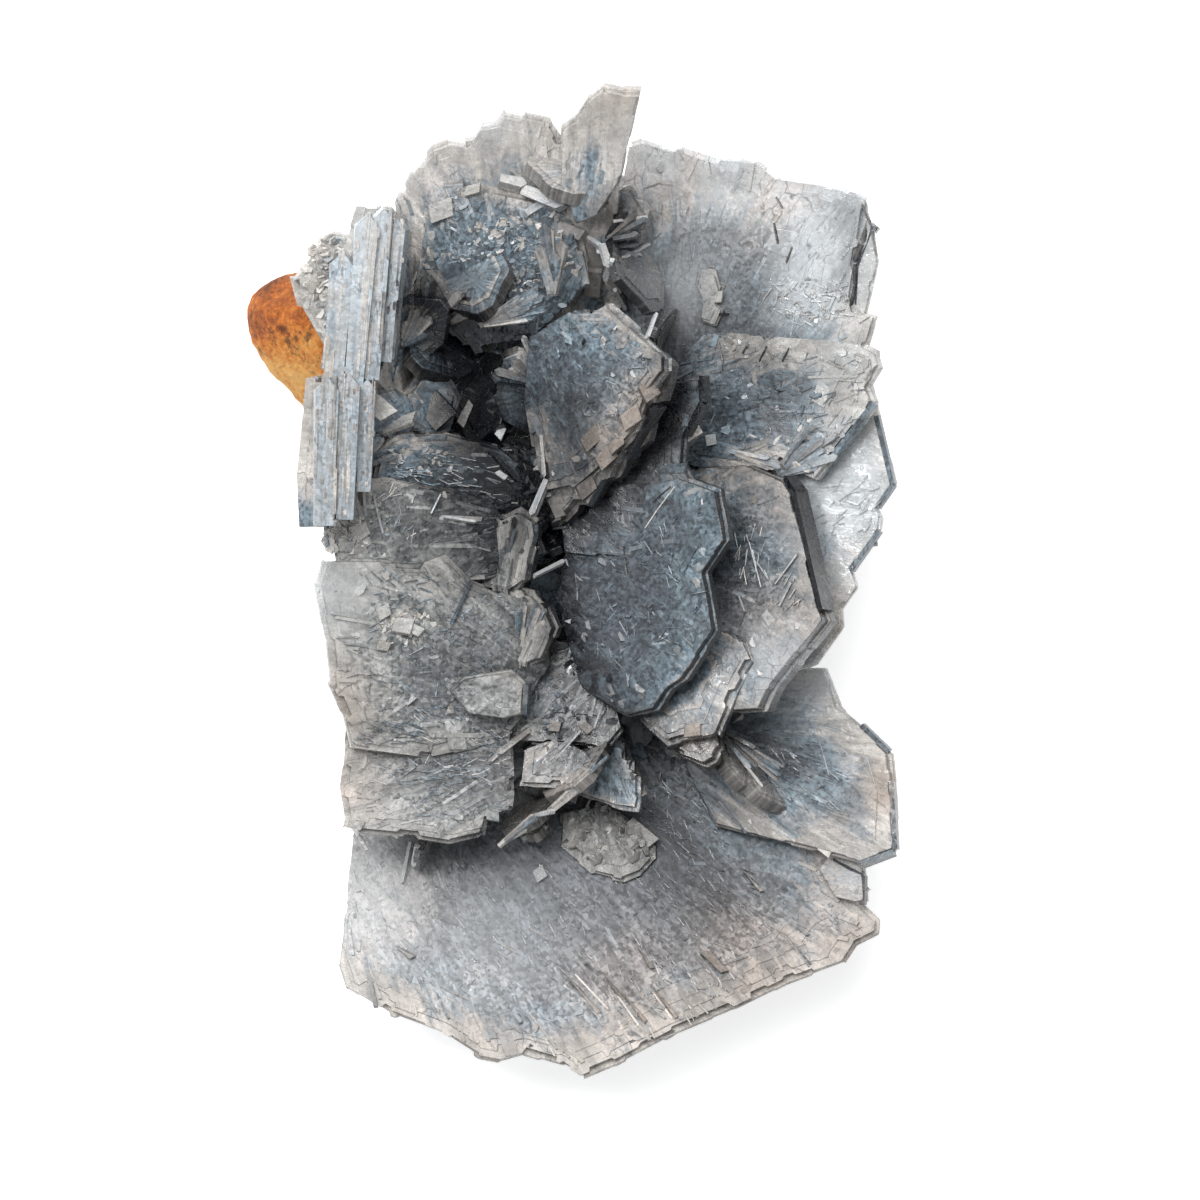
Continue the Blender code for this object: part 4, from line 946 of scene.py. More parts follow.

# %% [markdown]
# Some plates show a steep prism face along one edge. Seen from above it is a narrow band that is
# almost black in the middle of the rosette and smoky brown further out, darkened with painted shade.
# Each band is a thin slab that leans outwards and down from the plate's edge.

# %% Prism faces along the edges of the plates
BANDS = [  # blade, both ends of the edge as seen, width, drop, how much darker
    ("thick_right", (21.3, 10.6), (22.3, 9.2), 0.9, 1.4, 1.0),
    ("thick_right", (22.0, 9.6), (24.8, -2.6), 1.2, 2.2, 1.2),
    ("shadowed_right", (12.8, 21.0), (13.0, 18.4), 0.6, 1.2, 0.6),
    ("shadowed_right", (13.0, 18.4), (11.2, 15.2), 0.6, 1.2, 0.6),
    ("crest_base", (8.4, 18.2), (5.4, 13.0), 0.7, 1.6, 0.5),
    ("right_window", (32.0, 10.2), (30.4, 7.9), 0.25, 0.7, 0.5),
    ("right_window", (30.3, 17.0), (31.9, 10.2), 0.25, 0.7, 0.5),
    ("right_window", (30.6, 5.6), (27.8, 1.6), 0.25, 0.7, 0.45),
    ("lower_right", (31.8, -19.5), (32.2, -26.4), 0.25, 1.2, 0.7),
    ("lower_right", (32.1, -26.5), (28.9, -27.7), 0.4, 1.0, 0.6),
    ("lower_right", (28.9, -14.0), (31.6, -16.6), 0.2, 1.0, 0.5),
    ("window_tab", (26.0, -27.5), (28.9, -29.0), 0.25, 0.6, 0.6),
    ("window_tab", (29.0, -29.0), (28.9, -31.9), 0.25, 0.6, 0.6),
    ("clear_sliver", (29.9, 36.1), (28.3, 32.0), 0.4, 1.0, 0.9),
    ("clear_sliver", (28.3, 32.0), (28.1, 28.2), 0.4, 1.0, 0.9),
    ("perched_tablet", (-4.7, -9.8), (-4.9, -12.8), 0.3, 1.0, 0.6),
    ("right_upper", (30.1, 18.4), (29.0, 17.0), 0.3, 0.8, 0.1),
    ("right_upper", (29.0, 17.0), (25.6, 12.6), 0.5, 1.0, 0.15),
]


def prism_face(into, name, start, end, width, drop, darker):
    """A thin slab from a plate's edge outwards and down."""
    anchor, rise = BLADES[name][:2]
    start, end = on_blade(anchor, rise, *start), on_blade(anchor, rise, *end)
    run = end - start
    down = Vector((-run.y, run.x, 0.0)).normalized() * width - Vector((0.0, 0.0, drop))
    placed = frame_of((start + end + down) / 2, run, run.cross(down))
    stretch = Matrix.Diagonal((run.length, down.length, 0.5, 1.0))
    verts = bmesh.ops.create_cube(into, size=1.0, matrix=placed @ stretch)["verts"]
    lines = [(vert.co.z, (vert.co - start).dot(run.normalized())) for vert in verts]
    # The band is darkened with painted shade and kept cloudy.
    mark(into, verts, [6.0] * 8, lines, smokier=darker, clearer=-1.0)


edit = fresh()
for band in BANDS:
    prism_face(edit, *band)
finished(edit, "prism_faces", zoned_barite)

# %% [markdown]
# ## The blades behind the face
#
# From the side and from below one sees what carries the face: blades on edge that grew up out of the
# foot, one or two under each face blade. They are plain slabs with frayed outlines, because little of
# them shows.

# %% Keels under the face blades
KEEL_DRAWN_IN = 0.5
KEEL_ROOT_HEIGHT = 4.0
KEEL_ROOT_WIDTH = 9.0
KEEL_SHARE = 0.72
KEEL_THICKNESS = 1.6
ONE_KEEL_BREADTH = 14.0
KEEL_SINK = 1.0


def keel(into, flat, placed, turn, draw):
    """A blade on edge from the underside of a face blade down into the foot."""
    middle = placed.translation
    foot = Vector((middle.x * KEEL_DRAWN_IN, middle.y * KEEL_DRAWN_IN, KEEL_ROOT_HEIGHT))
    turned = placed.to_3x3()
    outward = turned.inverted() @ (middle - foot)
    ways = Vector((outward.x, outward.y)).normalized()
    if turn:
        ways = Vector((-ways.y, ways.x))
    reach = [Vector(point).dot(ways) for point in flat]
    low, high = min(reach) * KEEL_SHARE, max(reach) * KEEL_SHARE
    along = turned @ Vector((ways.x, ways.y, 0.0))
    upright = frame_of(middle, along, along.cross(foot - middle).normalized())
    down = upright.to_3x3().inverted() @ (foot - middle)
    lean = abs((upright.to_3x3() @ Vector((0.0, 1.0, 0.0))).dot(turned @ Vector((0.0, 0.0, 1.0))))
    sink = math.copysign(KEEL_SINK / max(lean, 0.2), down.y)
    half = min(KEEL_ROOT_WIDTH, high - low) / 2
    outline = [(low, sink), (high, sink), (down.x + half, down.y), (down.x - half, down.y)]
    if not turns_left(outline):
        outline.reverse()
    rim = frayed(outline, draw, depth=0.8)
    half_thick = KEEL_THICKNESS / 2
    poured(into, layer(rim, -half_thick, half_thick, upright, 2.2, None, smokier=-0.2))


edit = fresh()
draw = random.Random(5)
for name, (flat, placed) in built.items():
    for turn in range(1 if breadth(flat) < ONE_KEEL_BREADTH else 2):
        keel(edit, flat, placed, turn, draw)
keels = finished(edit, "keels", zoned_barite)
print("keel polygons:", len(keels.data.polygons))

# %% [markdown]
# Between the face blades stand tablets on edge. Each is a lozenge between prism faces with its sharp
# ends cut off, which is how a free barite tablet ends.

# %% Tablets on edge
STANDING = [  # middle of the upper edge, way along it, normal, length, depth, thickness
    ((1.1, -19.8, 22.2), (0.64, 0.55, 0.06), (-0.60, 0.66, 0.30), 8.2, 9.0, 1.0),
    ((-4.2, -24.0, 17.4), (0.87, 0.50, 0.08), (-0.48, 0.84, 0.20), 6.0, 8.0, 1.0),
    ((-3.6, -25.2, 15.2), (0.88, 0.46, 0.05), (-0.45, 0.85, 0.25), 3.2, 6.0, 0.9),
    ((-15.6, -26.8, 16.0), (0.25, 0.95, 0.10), (0.95, -0.25, 0.10), 4.2, 9.0, 0.6),
    ((4.0, 31.4, 25.5), (0.42, -0.90, 0.10), (0.85, 0.40, 0.30), 9.0, 14.0, 0.9),
    ((-1.0, 38.9, 25.0), (0.94, -0.28, 0.10), (0.20, 0.80, 0.55), 9.5, 8.0, 1.4),
    ((15.6, -19.2, 18.2), (0.64, -0.74, 0.05), (0.70, 0.62, 0.35), 8.4, 9.0, 1.2),
    ((17.8, -20.8, 17.4), (0.66, -0.72, 0.05), (0.66, 0.60, 0.40), 6.6, 8.0, 1.2),
    ((-2.5, 9.6, 22.0), (0.12, -0.95, 0.20), (0.98, 0.12, 0.10), 6.0, 10.0, 0.7),
    ((-3.6, 6.4, 22.6), (0.46, 0.86, 0.20), (0.88, -0.46, 0.10), 4.6, 9.0, 0.8),
    ((-1.6, 3.4, 18.2), (0.90, 0.40, 0.10), (-0.30, 0.70, 0.60), 5.4, 9.0, 0.9),
    ((8.0, 25.4, 18.0), (0.40, 0.90, 0.10), (0.90, -0.40, 0.20), 5.6, 9.0, 0.8),
    ((-8.5, 27.2, 22.5), (0.80, 0.45, 0.10), (-0.40, 0.50, 0.75), 8.0, 9.0, 1.5),
    ((-6.2, 23.4, 20.5), (0.86, 0.30, 0.10), (0.10, -0.50, 0.85), 6.5, 10.0, 1.5),
    ((-16.0, 22.0, 21.0), (0.60, -0.70, 0.10), (0.50, 0.60, 0.60), 7.5, 9.0, 1.4),
    ((-12.6, 28.2, 21.6), (-0.60, 0.75, 0.10), (-0.30, -0.30, 0.90), 6.0, 8.0, 1.3),
    ((-12.6, 19.0, 18.5), (0.30, 0.90, 0.20), (0.80, -0.20, 0.55), 9.0, 11.0, 1.6),
    ((-6.4, 17.0, 17.0), (0.20, 0.95, 0.00), (-0.70, 0.20, 0.65), 9.0, 11.0, 1.6),
]


def tablet_outline(length, width):
    """A barite tablet seen on its flat face."""
    half_width = width / 2
    slant = half_width / math.tan(PRISM_ANGLE / 2)
    flank = max(length / 2 - slant * 0.7, length * 0.12)
    end = half_width * 0.3
    return [
        (length / 2, end), (flank, half_width), (-flank, half_width), (-length / 2, end),
        (-length / 2, -end), (-flank, -half_width), (flank, -half_width), (length / 2, -end)]


def standing_tablet(into, top, along, normal, length, depth, thick, draw, darker, **looks):
    """A tablet hung from the middle of its upper edge, with a smaller one grown on each face."""
    upright = frame_of(top, along, normal).to_3x3() @ Vector((0.0, 1.0, 0.0))
    down = -upright if upright.z > 0 else upright
    placed = frame_of(sighted(*top) + down * depth / 2, along, normal)
    outline = tablet_outline(length, depth)
    poured(into, layer(frayed(outline, draw, depth=0.25), -thick / 2, thick / 2, placed, 1.2, None,
                       bevel=0.07, smokier=darker + 0.1, **looks))
    for side in (-1.0, 1.0):
        smaller = [(x * 0.8, y * 0.8) for x, y in outline]
        poured(into, layer(frayed(smaller, draw, depth=0.4), side * thick / 2 - 0.12,
                           side * thick / 2 + 0.12, placed, 1.6, None, bevel=0.05,
                           smokier=darker, **looks))


edit = fresh()
draw = random.Random(9)
for top, along, normal, length, depth, thick in STANDING:
    # Tablets that lie flatter, in the hollow, get painted shade: a darker, cloudier colour.
    in_the_hollow = normal[2] > 0.5 and top[1] < 30.0
    standing_tablet(edit, top, along, normal, length, depth, thick, draw,
                    0.18 if in_the_hollow else 0.05, cloudy=5.0 if in_the_hollow else 1.0)
finished(edit, "tablets_on_edge", zoned_barite)

# %% [markdown]
# Here and there a crystal stands out for itself: rods, and fans of laths that open like a feather.
# In a fan every lath starts at the root, turns a little further than the last and lies a hair higher
# or lower, so that their edges stay apart. The left walls are rows of bars with ridges along them.
# Bars and fans have heights of their own. The rods come after them and lie on whatever is there: a
# ray from the eye finds the surface under each end.

# %% Rods and fans
BARS = [  # the left walls, rows of bars: both ends with their heights, width, thickness, darker
    ((-23.9, 19.4, 27.0), (-22.9, 33.6, 27.8), 2.9, 3.0, -0.1),
    ((-21.9, 19.6, 27.1), (-20.4, 37.4, 28.3), 2.8, 3.0, -0.2),
    ((-20.2, 20.6, 26.7), (-19.0, 37.9, 27.8), 2.2, 3.0, 0.05),
    ((-18.7, 22.4, 26.0), (-17.4, 36.8, 26.9), 2.1, 3.0, 0.3),
    ((-24.9, 6.0, 28.2), (-24.5, 21.0, 28.5), 2.8, 3.0, 0.25),
    ((-22.8, 6.6, 27.7), (-22.3, 21.3, 28.1), 2.6, 3.0, 0.3),
    ((-21.0, 9.4, 26.8), (-20.6, 20.8, 27.1), 2.1, 3.0, 0.3),
    ((-26.6, 18.8, 17.0), (-25.6, 14.4, 17.0), 1.0, 2.0, 0.45),
]
RODS = [  # both ends as seen, width, thickness and how much darker
    ((-3.2, 15.1), (-2.9, 10.8), 0.5, 0.6, -0.3), ((-2.6, 10.6), (-4.2, 6.9), 0.8, 0.7, -0.35),
    ((-3.9, 1.0), (-0.9, 2.5), 0.5, 0.5, -0.6), ((-10.2, 0.5), (-12.2, -3.9), 0.3, 0.4, 0.1),
    ((-5.0, -25.3), (-2.5, -24.0), 0.7, 0.6, -1.3), ((-3.6, -22.9), (-2.0, -22.5), 0.6, 0.6, -1.3),
    ((-16.2, -25.6), (-17.1, -29.8), 0.5, 0.5, -1.2), ((-15.6, -26.0), (-15.9, -28.0), 0.7, 0.5, -1.2),
    ((8.3, 27.2), (7.4, 24.8), 0.4, 0.5, -1.2), ((1.4, 34.9), (2.9, 33.9), 0.6, 0.5, -1.1),
    ((2.9, 34.1), (3.6, 32.0), 0.9, 0.5, -1.1), ((3.9, 32.6), (3.2, 30.6), 0.6, 0.5, -1.0),
    ((3.2, 30.9), (4.2, 29.2), 0.7, 0.5, -1.1), ((4.2, 29.6), (5.2, 27.7), 0.5, 0.5, -1.1),
    ((-7.4, 40.6), (-4.7, 40.0), 1.3, 1.4, -1.0), ((-4.9, 39.6), (-0.6, 38.0), 1.6, 1.4, -0.6),
    ((-4.8, 37.2), (-2.6, 38.6), 1.0, 0.8, -0.7), ((-12.9, 6.9), (-9.7, 6.4), 0.3, 0.4, -0.8),
    ((-13.2, 9.2), (-14.2, 7.2), 0.2, 0.3, -0.4), ((-19.9, 9.0), (-19.0, 5.2), 0.3, 0.4, -0.5),
    ((-8.2, 13.4), (-5.4, 10.4), 0.5, 0.5, 1.0), ((4.2, 36.5), (7.4, 36.9), 0.4, 0.5, -1.2),
    ((7.6, 34.2), (5.0, 32.8), 0.3, 0.4, -0.4), ((20.2, 0.2), (22.4, 3.2), 0.2, 0.3, -1.0),
    ((20.6, -2.0), (21.8, 0.4), 0.2, 0.3, -1.0), ((17.6, 4.4), (18.8, -0.2), 0.14, 0.3, -1.0),
    ((18.4, 2.4), (19.6, 0.6), 0.12, 0.3, -1.0), ((-7.6, 8.8), (-9.4, 5.2), 0.3, 0.4, 1.2),
    ((1.9, 27.6), (1.0, 24.2), 0.25, 0.4, 0.8), ((-6.2, -15.6), (-8.4, -17.6), 0.5, 0.5, -0.4),
    ((-4.4, -14.4), (-7.6, -16.8), 0.7, 0.5, -0.4),
]
FANS = [  # root, tip, how many laths, their width, how far the fan opens in degrees, darker
    ((-14.6, 25.2, 18.6), (-11.8, 31.0, 22.6), 12, 0.8, 66, 0.1),
    ((-9.4, 26.0, 20.6), (-1.8, 29.0, 24.6), 14, 0.6, 24, -0.05),
    ((-3.0, 20.2, 18.6), (-7.8, 24.0, 22.2), 8, 0.9, 50, -0.2),
    ((-7.2, -0.4, 19.0), (-4.6, 7.2, 23.6), 12, 0.5, 30, -0.3),
    ((-5.8, -9.0, 18.4), (-3.4, -1.4, 22.8), 12, 0.5, 26, -0.3),
    ((3.2, 34.6, 21.6), (7.4, 37.4, 24.6), 6, 0.6, 46, 0.2),
    ((3.6, 33.8, 20.6), (7.2, 33.0, 23.4), 5, 0.6, 50, 0.2),
    ((20.2, 11.0, 18.0), (26.4, 15.4, 22.0), 12, 0.6, 40, -0.1),
    ((14.4, -14.2, 16.6), (21.2, -20.0, 19.2), 9, 0.5, 24, 0.1),
    ((-2.6, -22.8, 20.2), (4.6, -16.2, 22.8), 7, 0.6, 7, -0.4),
    ((-7.4, -26.0, 17.4), (-2.4, -22.2, 19.6), 5, 0.5, 9, -0.4),
    ((-20.6, 4.6, 21.6), (-23.6, 9.6, 24.8), 8, 0.5, 60, -0.6),
    ((-21.0, 12.0, 20.8), (-18.6, 15.6, 23.6), 8, 0.6, 60, -0.4),
    ((-17.0, 24.0, 20.0), (-14.6, 27.6, 22.0), 7, 0.8, 50, -0.3),
    ((-2.0, 29.0, 22.6), (-2.2, 37.2, 25.0), 8, 1.0, 26, 0.08),
    ((15.6, 13.5, 20.6), (21.2, 11.8, 22.8), 6, 0.5, 12, -0.1),
]


def surface_of(pieces):
    """A search tree over the faces of some pieces, in mm."""
    points, faces = [], []
    for piece in pieces:
        first = len(points)
        points += [vert.co / MM for vert in piece.data.vertices]
        faces += [[first + corner for corner in polygon.vertices] for polygon in piece.data.polygons]
    return BVHTree.FromPolygons(points, faces)


def resting(x, y, gap):
    """The true place of what lies on the surface that is seen at x, y."""
    eye = EYE + ASIDE
    hit = under.ray_cast(eye, (sighted(x, y, 0.0) - eye).normalized())[0]
    return sighted(x, y, hit.z + gap)


MOST_FALL = 2.5  # mm by which one end of a rod may lie lower than the other
BAR_ZONE = 4.5  # the bars are coloured as if this many mm in from a rim
BAR_RIDGES = 26  # on each bar
RIDGE_ZONE = 1.5  # and their ridges as if only this far in


def lying(start, end, gap):
    """Both ends of a rod that lies on what is seen under it."""
    heights = [resting(*place, gap).z for place in (start, end)]
    lowest = max(heights) - MOST_FALL
    return [sighted(*place, max(height, lowest)) for place, height in zip((start, end), heights)]


def rod(into, start, end, width, thick, roll, zone, **looks):
    """A thin bar between two places, pointed at its far end and narrower on top."""
    run = end - start
    upward = run.cross(Vector((0.0, 0.0, 1.0))).cross(run)
    normal = Matrix.Rotation(roll, 3, run.normalized()) @ upward
    placed = frame_of((start + end) / 2, run, normal)
    half, side = run.length / 2, width / 2
    point = min(side, half * 0.4)
    outline = [(half, 0.0), (half - point, side), (-half, side * 0.8), (-half, -side * 0.8),
               (half - point, -side)]
    base = [into.verts.new(placed @ Vector((x, y, -thick / 2))) for x, y in outline]
    top = [into.verts.new(placed @ Vector((x * 0.99, y * 0.8, thick / 2))) for x, y in outline]
    into.faces.new(base[::-1])
    into.faces.new(top)
    for one in range(len(outline)):
        two = (one + 1) % len(outline)
        into.faces.new((base[one], base[two], top[two], top[one]))
    across, up = run.cross(normal).normalized() * 1.3, normal.normalized() * 2.0
    lines = [((vert.co - start).dot(across) + (vert.co - start).dot(up) + zone * 5.0,
              (vert.co - start).length) for vert in base + top]
    mark(into, base + top, [zone] * 10, lines, **looks)


edit = fresh()
draw = random.Random(21)
for start, end, width, thick, darker in BARS:
    rod(edit, sighted(*start), sighted(*end), width, thick, draw.uniform(-0.1, 0.1), BAR_ZONE,
        smokier=darker, clearer=0.2)
    for _ in range(BAR_RIDGES):
        first = draw.uniform(0.0, 0.9)
        last = min(1.0, first + draw.choice((0.03, 0.05, 0.3)) * draw.uniform(0.5, 1.5))
        run = Vector(end) - Vector(start)
        side = Vector((draw.uniform(-0.42, 0.42) * width, 0.0, thick / 2 - 0.14))
        rod(edit, sighted(*(Vector(start) + run * first + side)),
            sighted(*(Vector(start) + run * last + side)), draw.uniform(0.1, 0.45), 0.4,
            draw.uniform(-0.4, 0.4), RIDGE_ZONE, smokier=darker + draw.choice((-0.9, 0.1, 0.2)))
for root, tip, count, width, opening, darker in FANS:
    root, tip = sighted(*root), sighted(*tip)
    run = tip - root
    up = run.cross(Vector((0.0, 0.0, 1.0))).cross(run).normalized()
    for number in range(count):
        share = (number + draw.uniform(-0.3, 0.3)) / (count - 1) - 0.5
        turn = Matrix.Rotation(math.radians(opening) * share, 3, up)
        start = root + turn @ run * draw.uniform(0.0, 0.2) + up * draw.uniform(-0.3, 0.3)
        reach = draw.uniform(0.55, 1.0) * (1 - 0.5 * share**2)
        end = root + turn @ run * reach + up * draw.uniform(-0.2, 0.4)
        rod(edit, start, end, width * draw.uniform(0.6, 1.4), 0.4, draw.uniform(-0.5, 0.5),
            draw.uniform(1.5, 5.0), smokier=darker * 0.8 + 0.14 + draw.gauss(0.0, 0.12))
finished(edit, "bars_and_fans", zoned_barite)

under = surface_of(crystal_pieces)
edit = fresh()
for start, end, width, thick, darker in RODS:
    start, end = lying(start, end, thick * 0.4 + 0.1)
    rod(edit, start, end, width, thick, draw.uniform(-0.4, 0.4),
        5.0 if darker > 0 else 2.0, smokier=darker, clearer=0.3 if darker < -0.5 else 0.0)
finished(edit, "rods", zoned_barite)

# %% [markdown]
# Up close the faces are scratched with hair-thin needles and cracked along the steps. A crack is a
# dark line of painted shade where a step's wall is looked at along its face, and a needle is a fine
# ridge that catches the lamp. Both are thin rods. A crack lies on whatever is seen at its place, and
# needles lie on the blade that is named.

# %% Cracks and needles
CRACKS = [  # points as seen, width, how much darker
    (((20.3, 38.9), (21.0, 37.7)), 0.3, 0.9), (((20.9, 37.6), (20.2, 36.4)), 0.35, -1.0),
    (((20.1, 36.3), (20.5, 34.2)), 0.3, 1.0), (((21.9, 33.9), (21.3, 32.3)), 0.25, 0.8),
    (((12.9, 32.8), (13.6, 31.9), (14.3, 31.9)), 0.2, 0.8),
    (((14.6, 27.2), (15.6, 27.2), (16.4, 26.2)), 0.25, 1.0),
    (((29.6, 36.6), (28.9, 34.2), (28.1, 32.3)), 0.7, 1.1),
    (((28.2, 32.2), (28.2, 30.0), (27.8, 28.0)), 0.5, 1.1),
    (((28.9, 38.2), (29.7, 36.2), (30.3, 33.0)), 0.25, 0.8), (((27.8, 28.0), (28.8, 27.4)), 0.2, 0.7),
    (((7.2, 39.8), (8.6, 40.3), (10.0, 40.1)), 0.15, 0.5), (((13.6, 42.4), (13.8, 41.2)), 0.2, 0.5),
    (((14.6, 24.4), (15.0, 22.5), (14.9, 21.2)), 0.3, 0.9), (((17.6, 24.2), (16.9, 23.2)), 0.3, 0.9),
    (((19.4, 24.0), (18.6, 22.4)), 0.3, 0.8), (((21.6, 23.8), (20.9, 22.4)), 0.25, 0.8),
    (((28.4, 23.2), (29.6, 22.8), (29.8, 21.6), (29.2, 20.6)), 0.3, 0.5),
    (((26.6, 20.6), (29.0, 20.4)), 0.2, 0.5), (((25.4, 22.4), (27.6, 21.6)), 0.25, 0.6),
    (((15.6, -4.6), (17.4, -5.6), (18.0, -7.6), (17.2, -8.8)), 0.3, 0.6),
    (((16.6, -1.0), (17.2, -2.6), (16.6, -4.0)), 0.25, 0.6), (((5.0, 4.0), (5.4, 0.8)), 0.15, 0.8),
    (((7.2, 5.8), (8.4, 7.6), (10.2, 10.0)), 0.15, -0.5), (((9.8, 10.0), (8.0, 8.4)), 0.2, 0.8),
    (((-20.6, -38.4), (-19.9, -39.7)), 0.2, 0.6), (((-1.5, -38.0), (1.2, -40.6)), 0.15, 0.5),
    (((0.2, -38.8), (3.6, -42.4)), 0.25, -0.8), (((4.5, -41.0), (6.6, -44.0)), 0.25, -0.8),
    (((8.0, -40.6), (10.0, -43.4)), 0.3, -0.9),
    (((12.6, -36.2), (14.8, -38.0), (17.6, -37.0)), 0.2, 0.6),
    (((14.0, -35.6), (16.4, -36.6)), 0.2, 0.5), (((5.6, -45.6), (10.2, -44.5)), 0.35, 0.6),
    (((-4.4, -45.9), (-3.2, -46.6)), 0.5, 0.6), (((-13.0, -40.2), (-10.4, -41.4)), 0.15, 0.5),
    (((-7.6, -35.6), (-5.4, -36.8)), 0.15, 0.5), (((-4.6, -34.0), (-2.4, -35.4)), 0.2, 0.6),
    (((31.5, -17.2), (31.7, -25.6)), 0.3, 0.5), (((24.6, -15.2), (25.6, -19.0)), 0.12, 0.3),
    (((29.4, -17.0), (30.4, -20.6), (30.2, -25.4)), 0.12, 0.3),
    (((-12.0, -7.2), (-10.0, -8.4)), 0.2, 0.6),
]
CRACK_SINK = 0.05  # mm that a crack lies under the surface
NEEDLES = [  # blade, middle as seen, reach, direction in degrees and its spread, how many, darker
    ("left_bank", (-12, 9), (6, 3), -15, 12, 90, -0.5),
    ("left_bank", (-15, 11.5), (4, 2), -5, 10, 30, -0.4),
    ("left_bank_low", (-20, 7), (4, 3), 55, 25, 60, -0.4),
    ("upper_middle", (-9, 33), (7, 4), 40, 60, 110, -0.2),
    ("crest_base", (4, 13), (4, 4), 55, 20, 30, -0.3),
    ("right_upper", (20, 19), (8, 4), 25, 30, 70, -0.2),
    ("upper_right", (23, 28.5), (4, 2), -35, 30, 50, -0.6),
    ("upper_right", (12, 33), (5, 4), 68, 15, 50, -0.1),
    ("thick_right", (18, 2.5), (2, 2.5), 85, 12, 24, -0.9),
    ("thick_right", (21, -1), (1.5, 1.5), 50, 15, 14, -0.9),
    ("lower_fan", (0, -33), (18, 7), -50, 12, 130, 0.1),
    ("lower_fan", (2, -33), (18, 7), -50, 12, 170, 0.5),
    ("lower_fan", (8, -40), (8, 3), -56, 8, 50, -0.3),
    ("lower_fan", (12, -26), (6, 6), -40, 14, 90, 0.6),
    ("lower_fan", (12, -22), (4, 4), -40, 50, 80, -0.2),
    ("left_lobe", (-14, -2), (7, 4), 20, 40, 80, -0.2),
    ("left_lobe", (-16, -9), (7, 4), -40, 30, 70, -0.2),
    ("left_foot", (-13, -19), (8, 4), -10, 20, 120, -0.2),
    ("right_window", (27, 8), (3, 3), 30, 25, 30, 0.3),
    ("lower_right", (22, -18), (5, 4), -35, 15, 70, -0.2),
    ("recess_floor", (-9, 18), (6, 6), 30, 80, 120, -0.4),
    ("middle_right", (6, -2), (6, 8), 45, 60, 110, -0.12),
    ("left_foot", (-11, -17), (5, 2.5), 5, 22, 90, 0.4),
    ("left_foot", (-11, -17), (5, 2.5), 5, 22, 60, -0.4),
    ("left_lobe", (-11, -13.6), (5, 1.6), -28, 14, 70, 0.4),
    ("left_lobe", (-11, -13.6), (5, 1.6), -28, 14, 50, -0.4),
    ("left_lobe", (-19, -14.6), (4, 1.2), -8, 12, 60, 0.1),
    ("crest", (3, 21), (5, 5), 50, 50, 60, -0.1),
]


STEP_STARTS = (0.8, 1.8, 3.6, 6.0, 9.5)  # mm in from the rim, and how high the layers are there
STEP_TOPS = (0.0, 0.07, 0.13, 0.18, 0.22)


def on_top(name, x, y, lift=0.0):
    """The true place of what is seen at x, y on the top layer of a face blade."""
    anchor, rise, _, _ = BLADES[name]
    flat, placed = built[name]
    seen = on_blade(anchor, rise, x, y)
    most = STEP_TOPS[-1] if breadth(flat) > BROAD else STEP_TOPS[2]
    if LOOKS.get(name, USUAL_LOOK)[2] < RAGGED:
        most = 0.0
    away = rim_distance([(placed.inverted() @ seen).xy], flat)[0]
    top = min(most, float(np.interp(away, STEP_STARTS, STEP_TOPS)))
    return seen + placed.to_3x3() @ Vector((0.0, 0.0, top + lift))


edit = fresh()
draw = random.Random(77)
# Each crack is coloured with painted shade, a step's wall seen along its face; those with a darkness
# below zero come out lighter.
for points, width, darker in CRACKS:
    for start, end in zip(points, points[1:]):
        first, last = resting(*start, -CRACK_SINK), resting(*end, -CRACK_SINK)
        rod(edit, first, last, width, 0.3, 0.0, 3.0, smokier=darker, clearer=-1.0)
for name, (x, y), (across, up), angle, opening, count, darker in NEEDLES:
    for _ in range(count):
        start = Vector((x + across * draw.uniform(-1, 1), y + up * draw.uniform(-1, 1)))
        way = math.radians(draw.gauss(angle, opening))
        end = start + Vector((math.cos(way), math.sin(way))) * draw.uniform(0.3, 1.7)
        if not (inside(BLADES[name][3], *start) and inside(BLADES[name][3], *end)):
            continue
        width = draw.uniform(0.06, 0.16)
        zone = draw.uniform(1.5, 5.0) if darker < -0.3 else draw.uniform(4.0, 11.0)
        rod(edit, on_top(name, *start, -0.04), on_top(name, *end, 0.02), width, 0.3, 0.0, zone,
            smokier=darker + draw.gauss(0.0, 0.15))
finished(edit, "cracks_and_needles", zoned_barite)

# %% [markdown]
# Here and there a crust of small tablets has grown over a blade, jumbled and paler than the rest.
# The same flakes as on the blades make it, only more of them in one place.

# %% Crusts
CRUSTS = [  # blade, middle as seen, reach, how many, their size, how cloudy
    ("left_bank_low", (-22.6, 5.0), (2.4, 2.0), 70, (0.5, 1.5), -3.0),
    ("left_lobe", (-16.8, -4.0), (3.0, 2.0), 80, (0.4, 1.3), -1.0),
    ("left_lobes", (-23.5, 31.5), (3.5, 4.0), 160, (0.5, 1.8), -1.0),
    ("upper_middle", (-6.0, 33.0), (6.0, 4.0), 260, (0.3, 1.3), 1.0),
    ("recess_floor", (-12.0, 21.0), (5.0, 6.0), 220, (0.4, 1.6), -2.0),
    ("middle_floor", (-2.0, -13.0), (4.0, 2.4), 40, (0.3, 1.2), 5.0),
    ("left_bank", (-15.0, 12.5), (3.5, 1.6), 60, (0.3, 1.0), 1.0),
    ("right_upper", (24.0, 15.0), (3.0, 2.0), 50, (0.3, 1.2), 0.0),
    ("upper_right", (24.0, 28.5), (3.5, 2.2), 90, (0.3, 1.3), -2.0),
]
edit = fresh()
draw = random.Random(101)
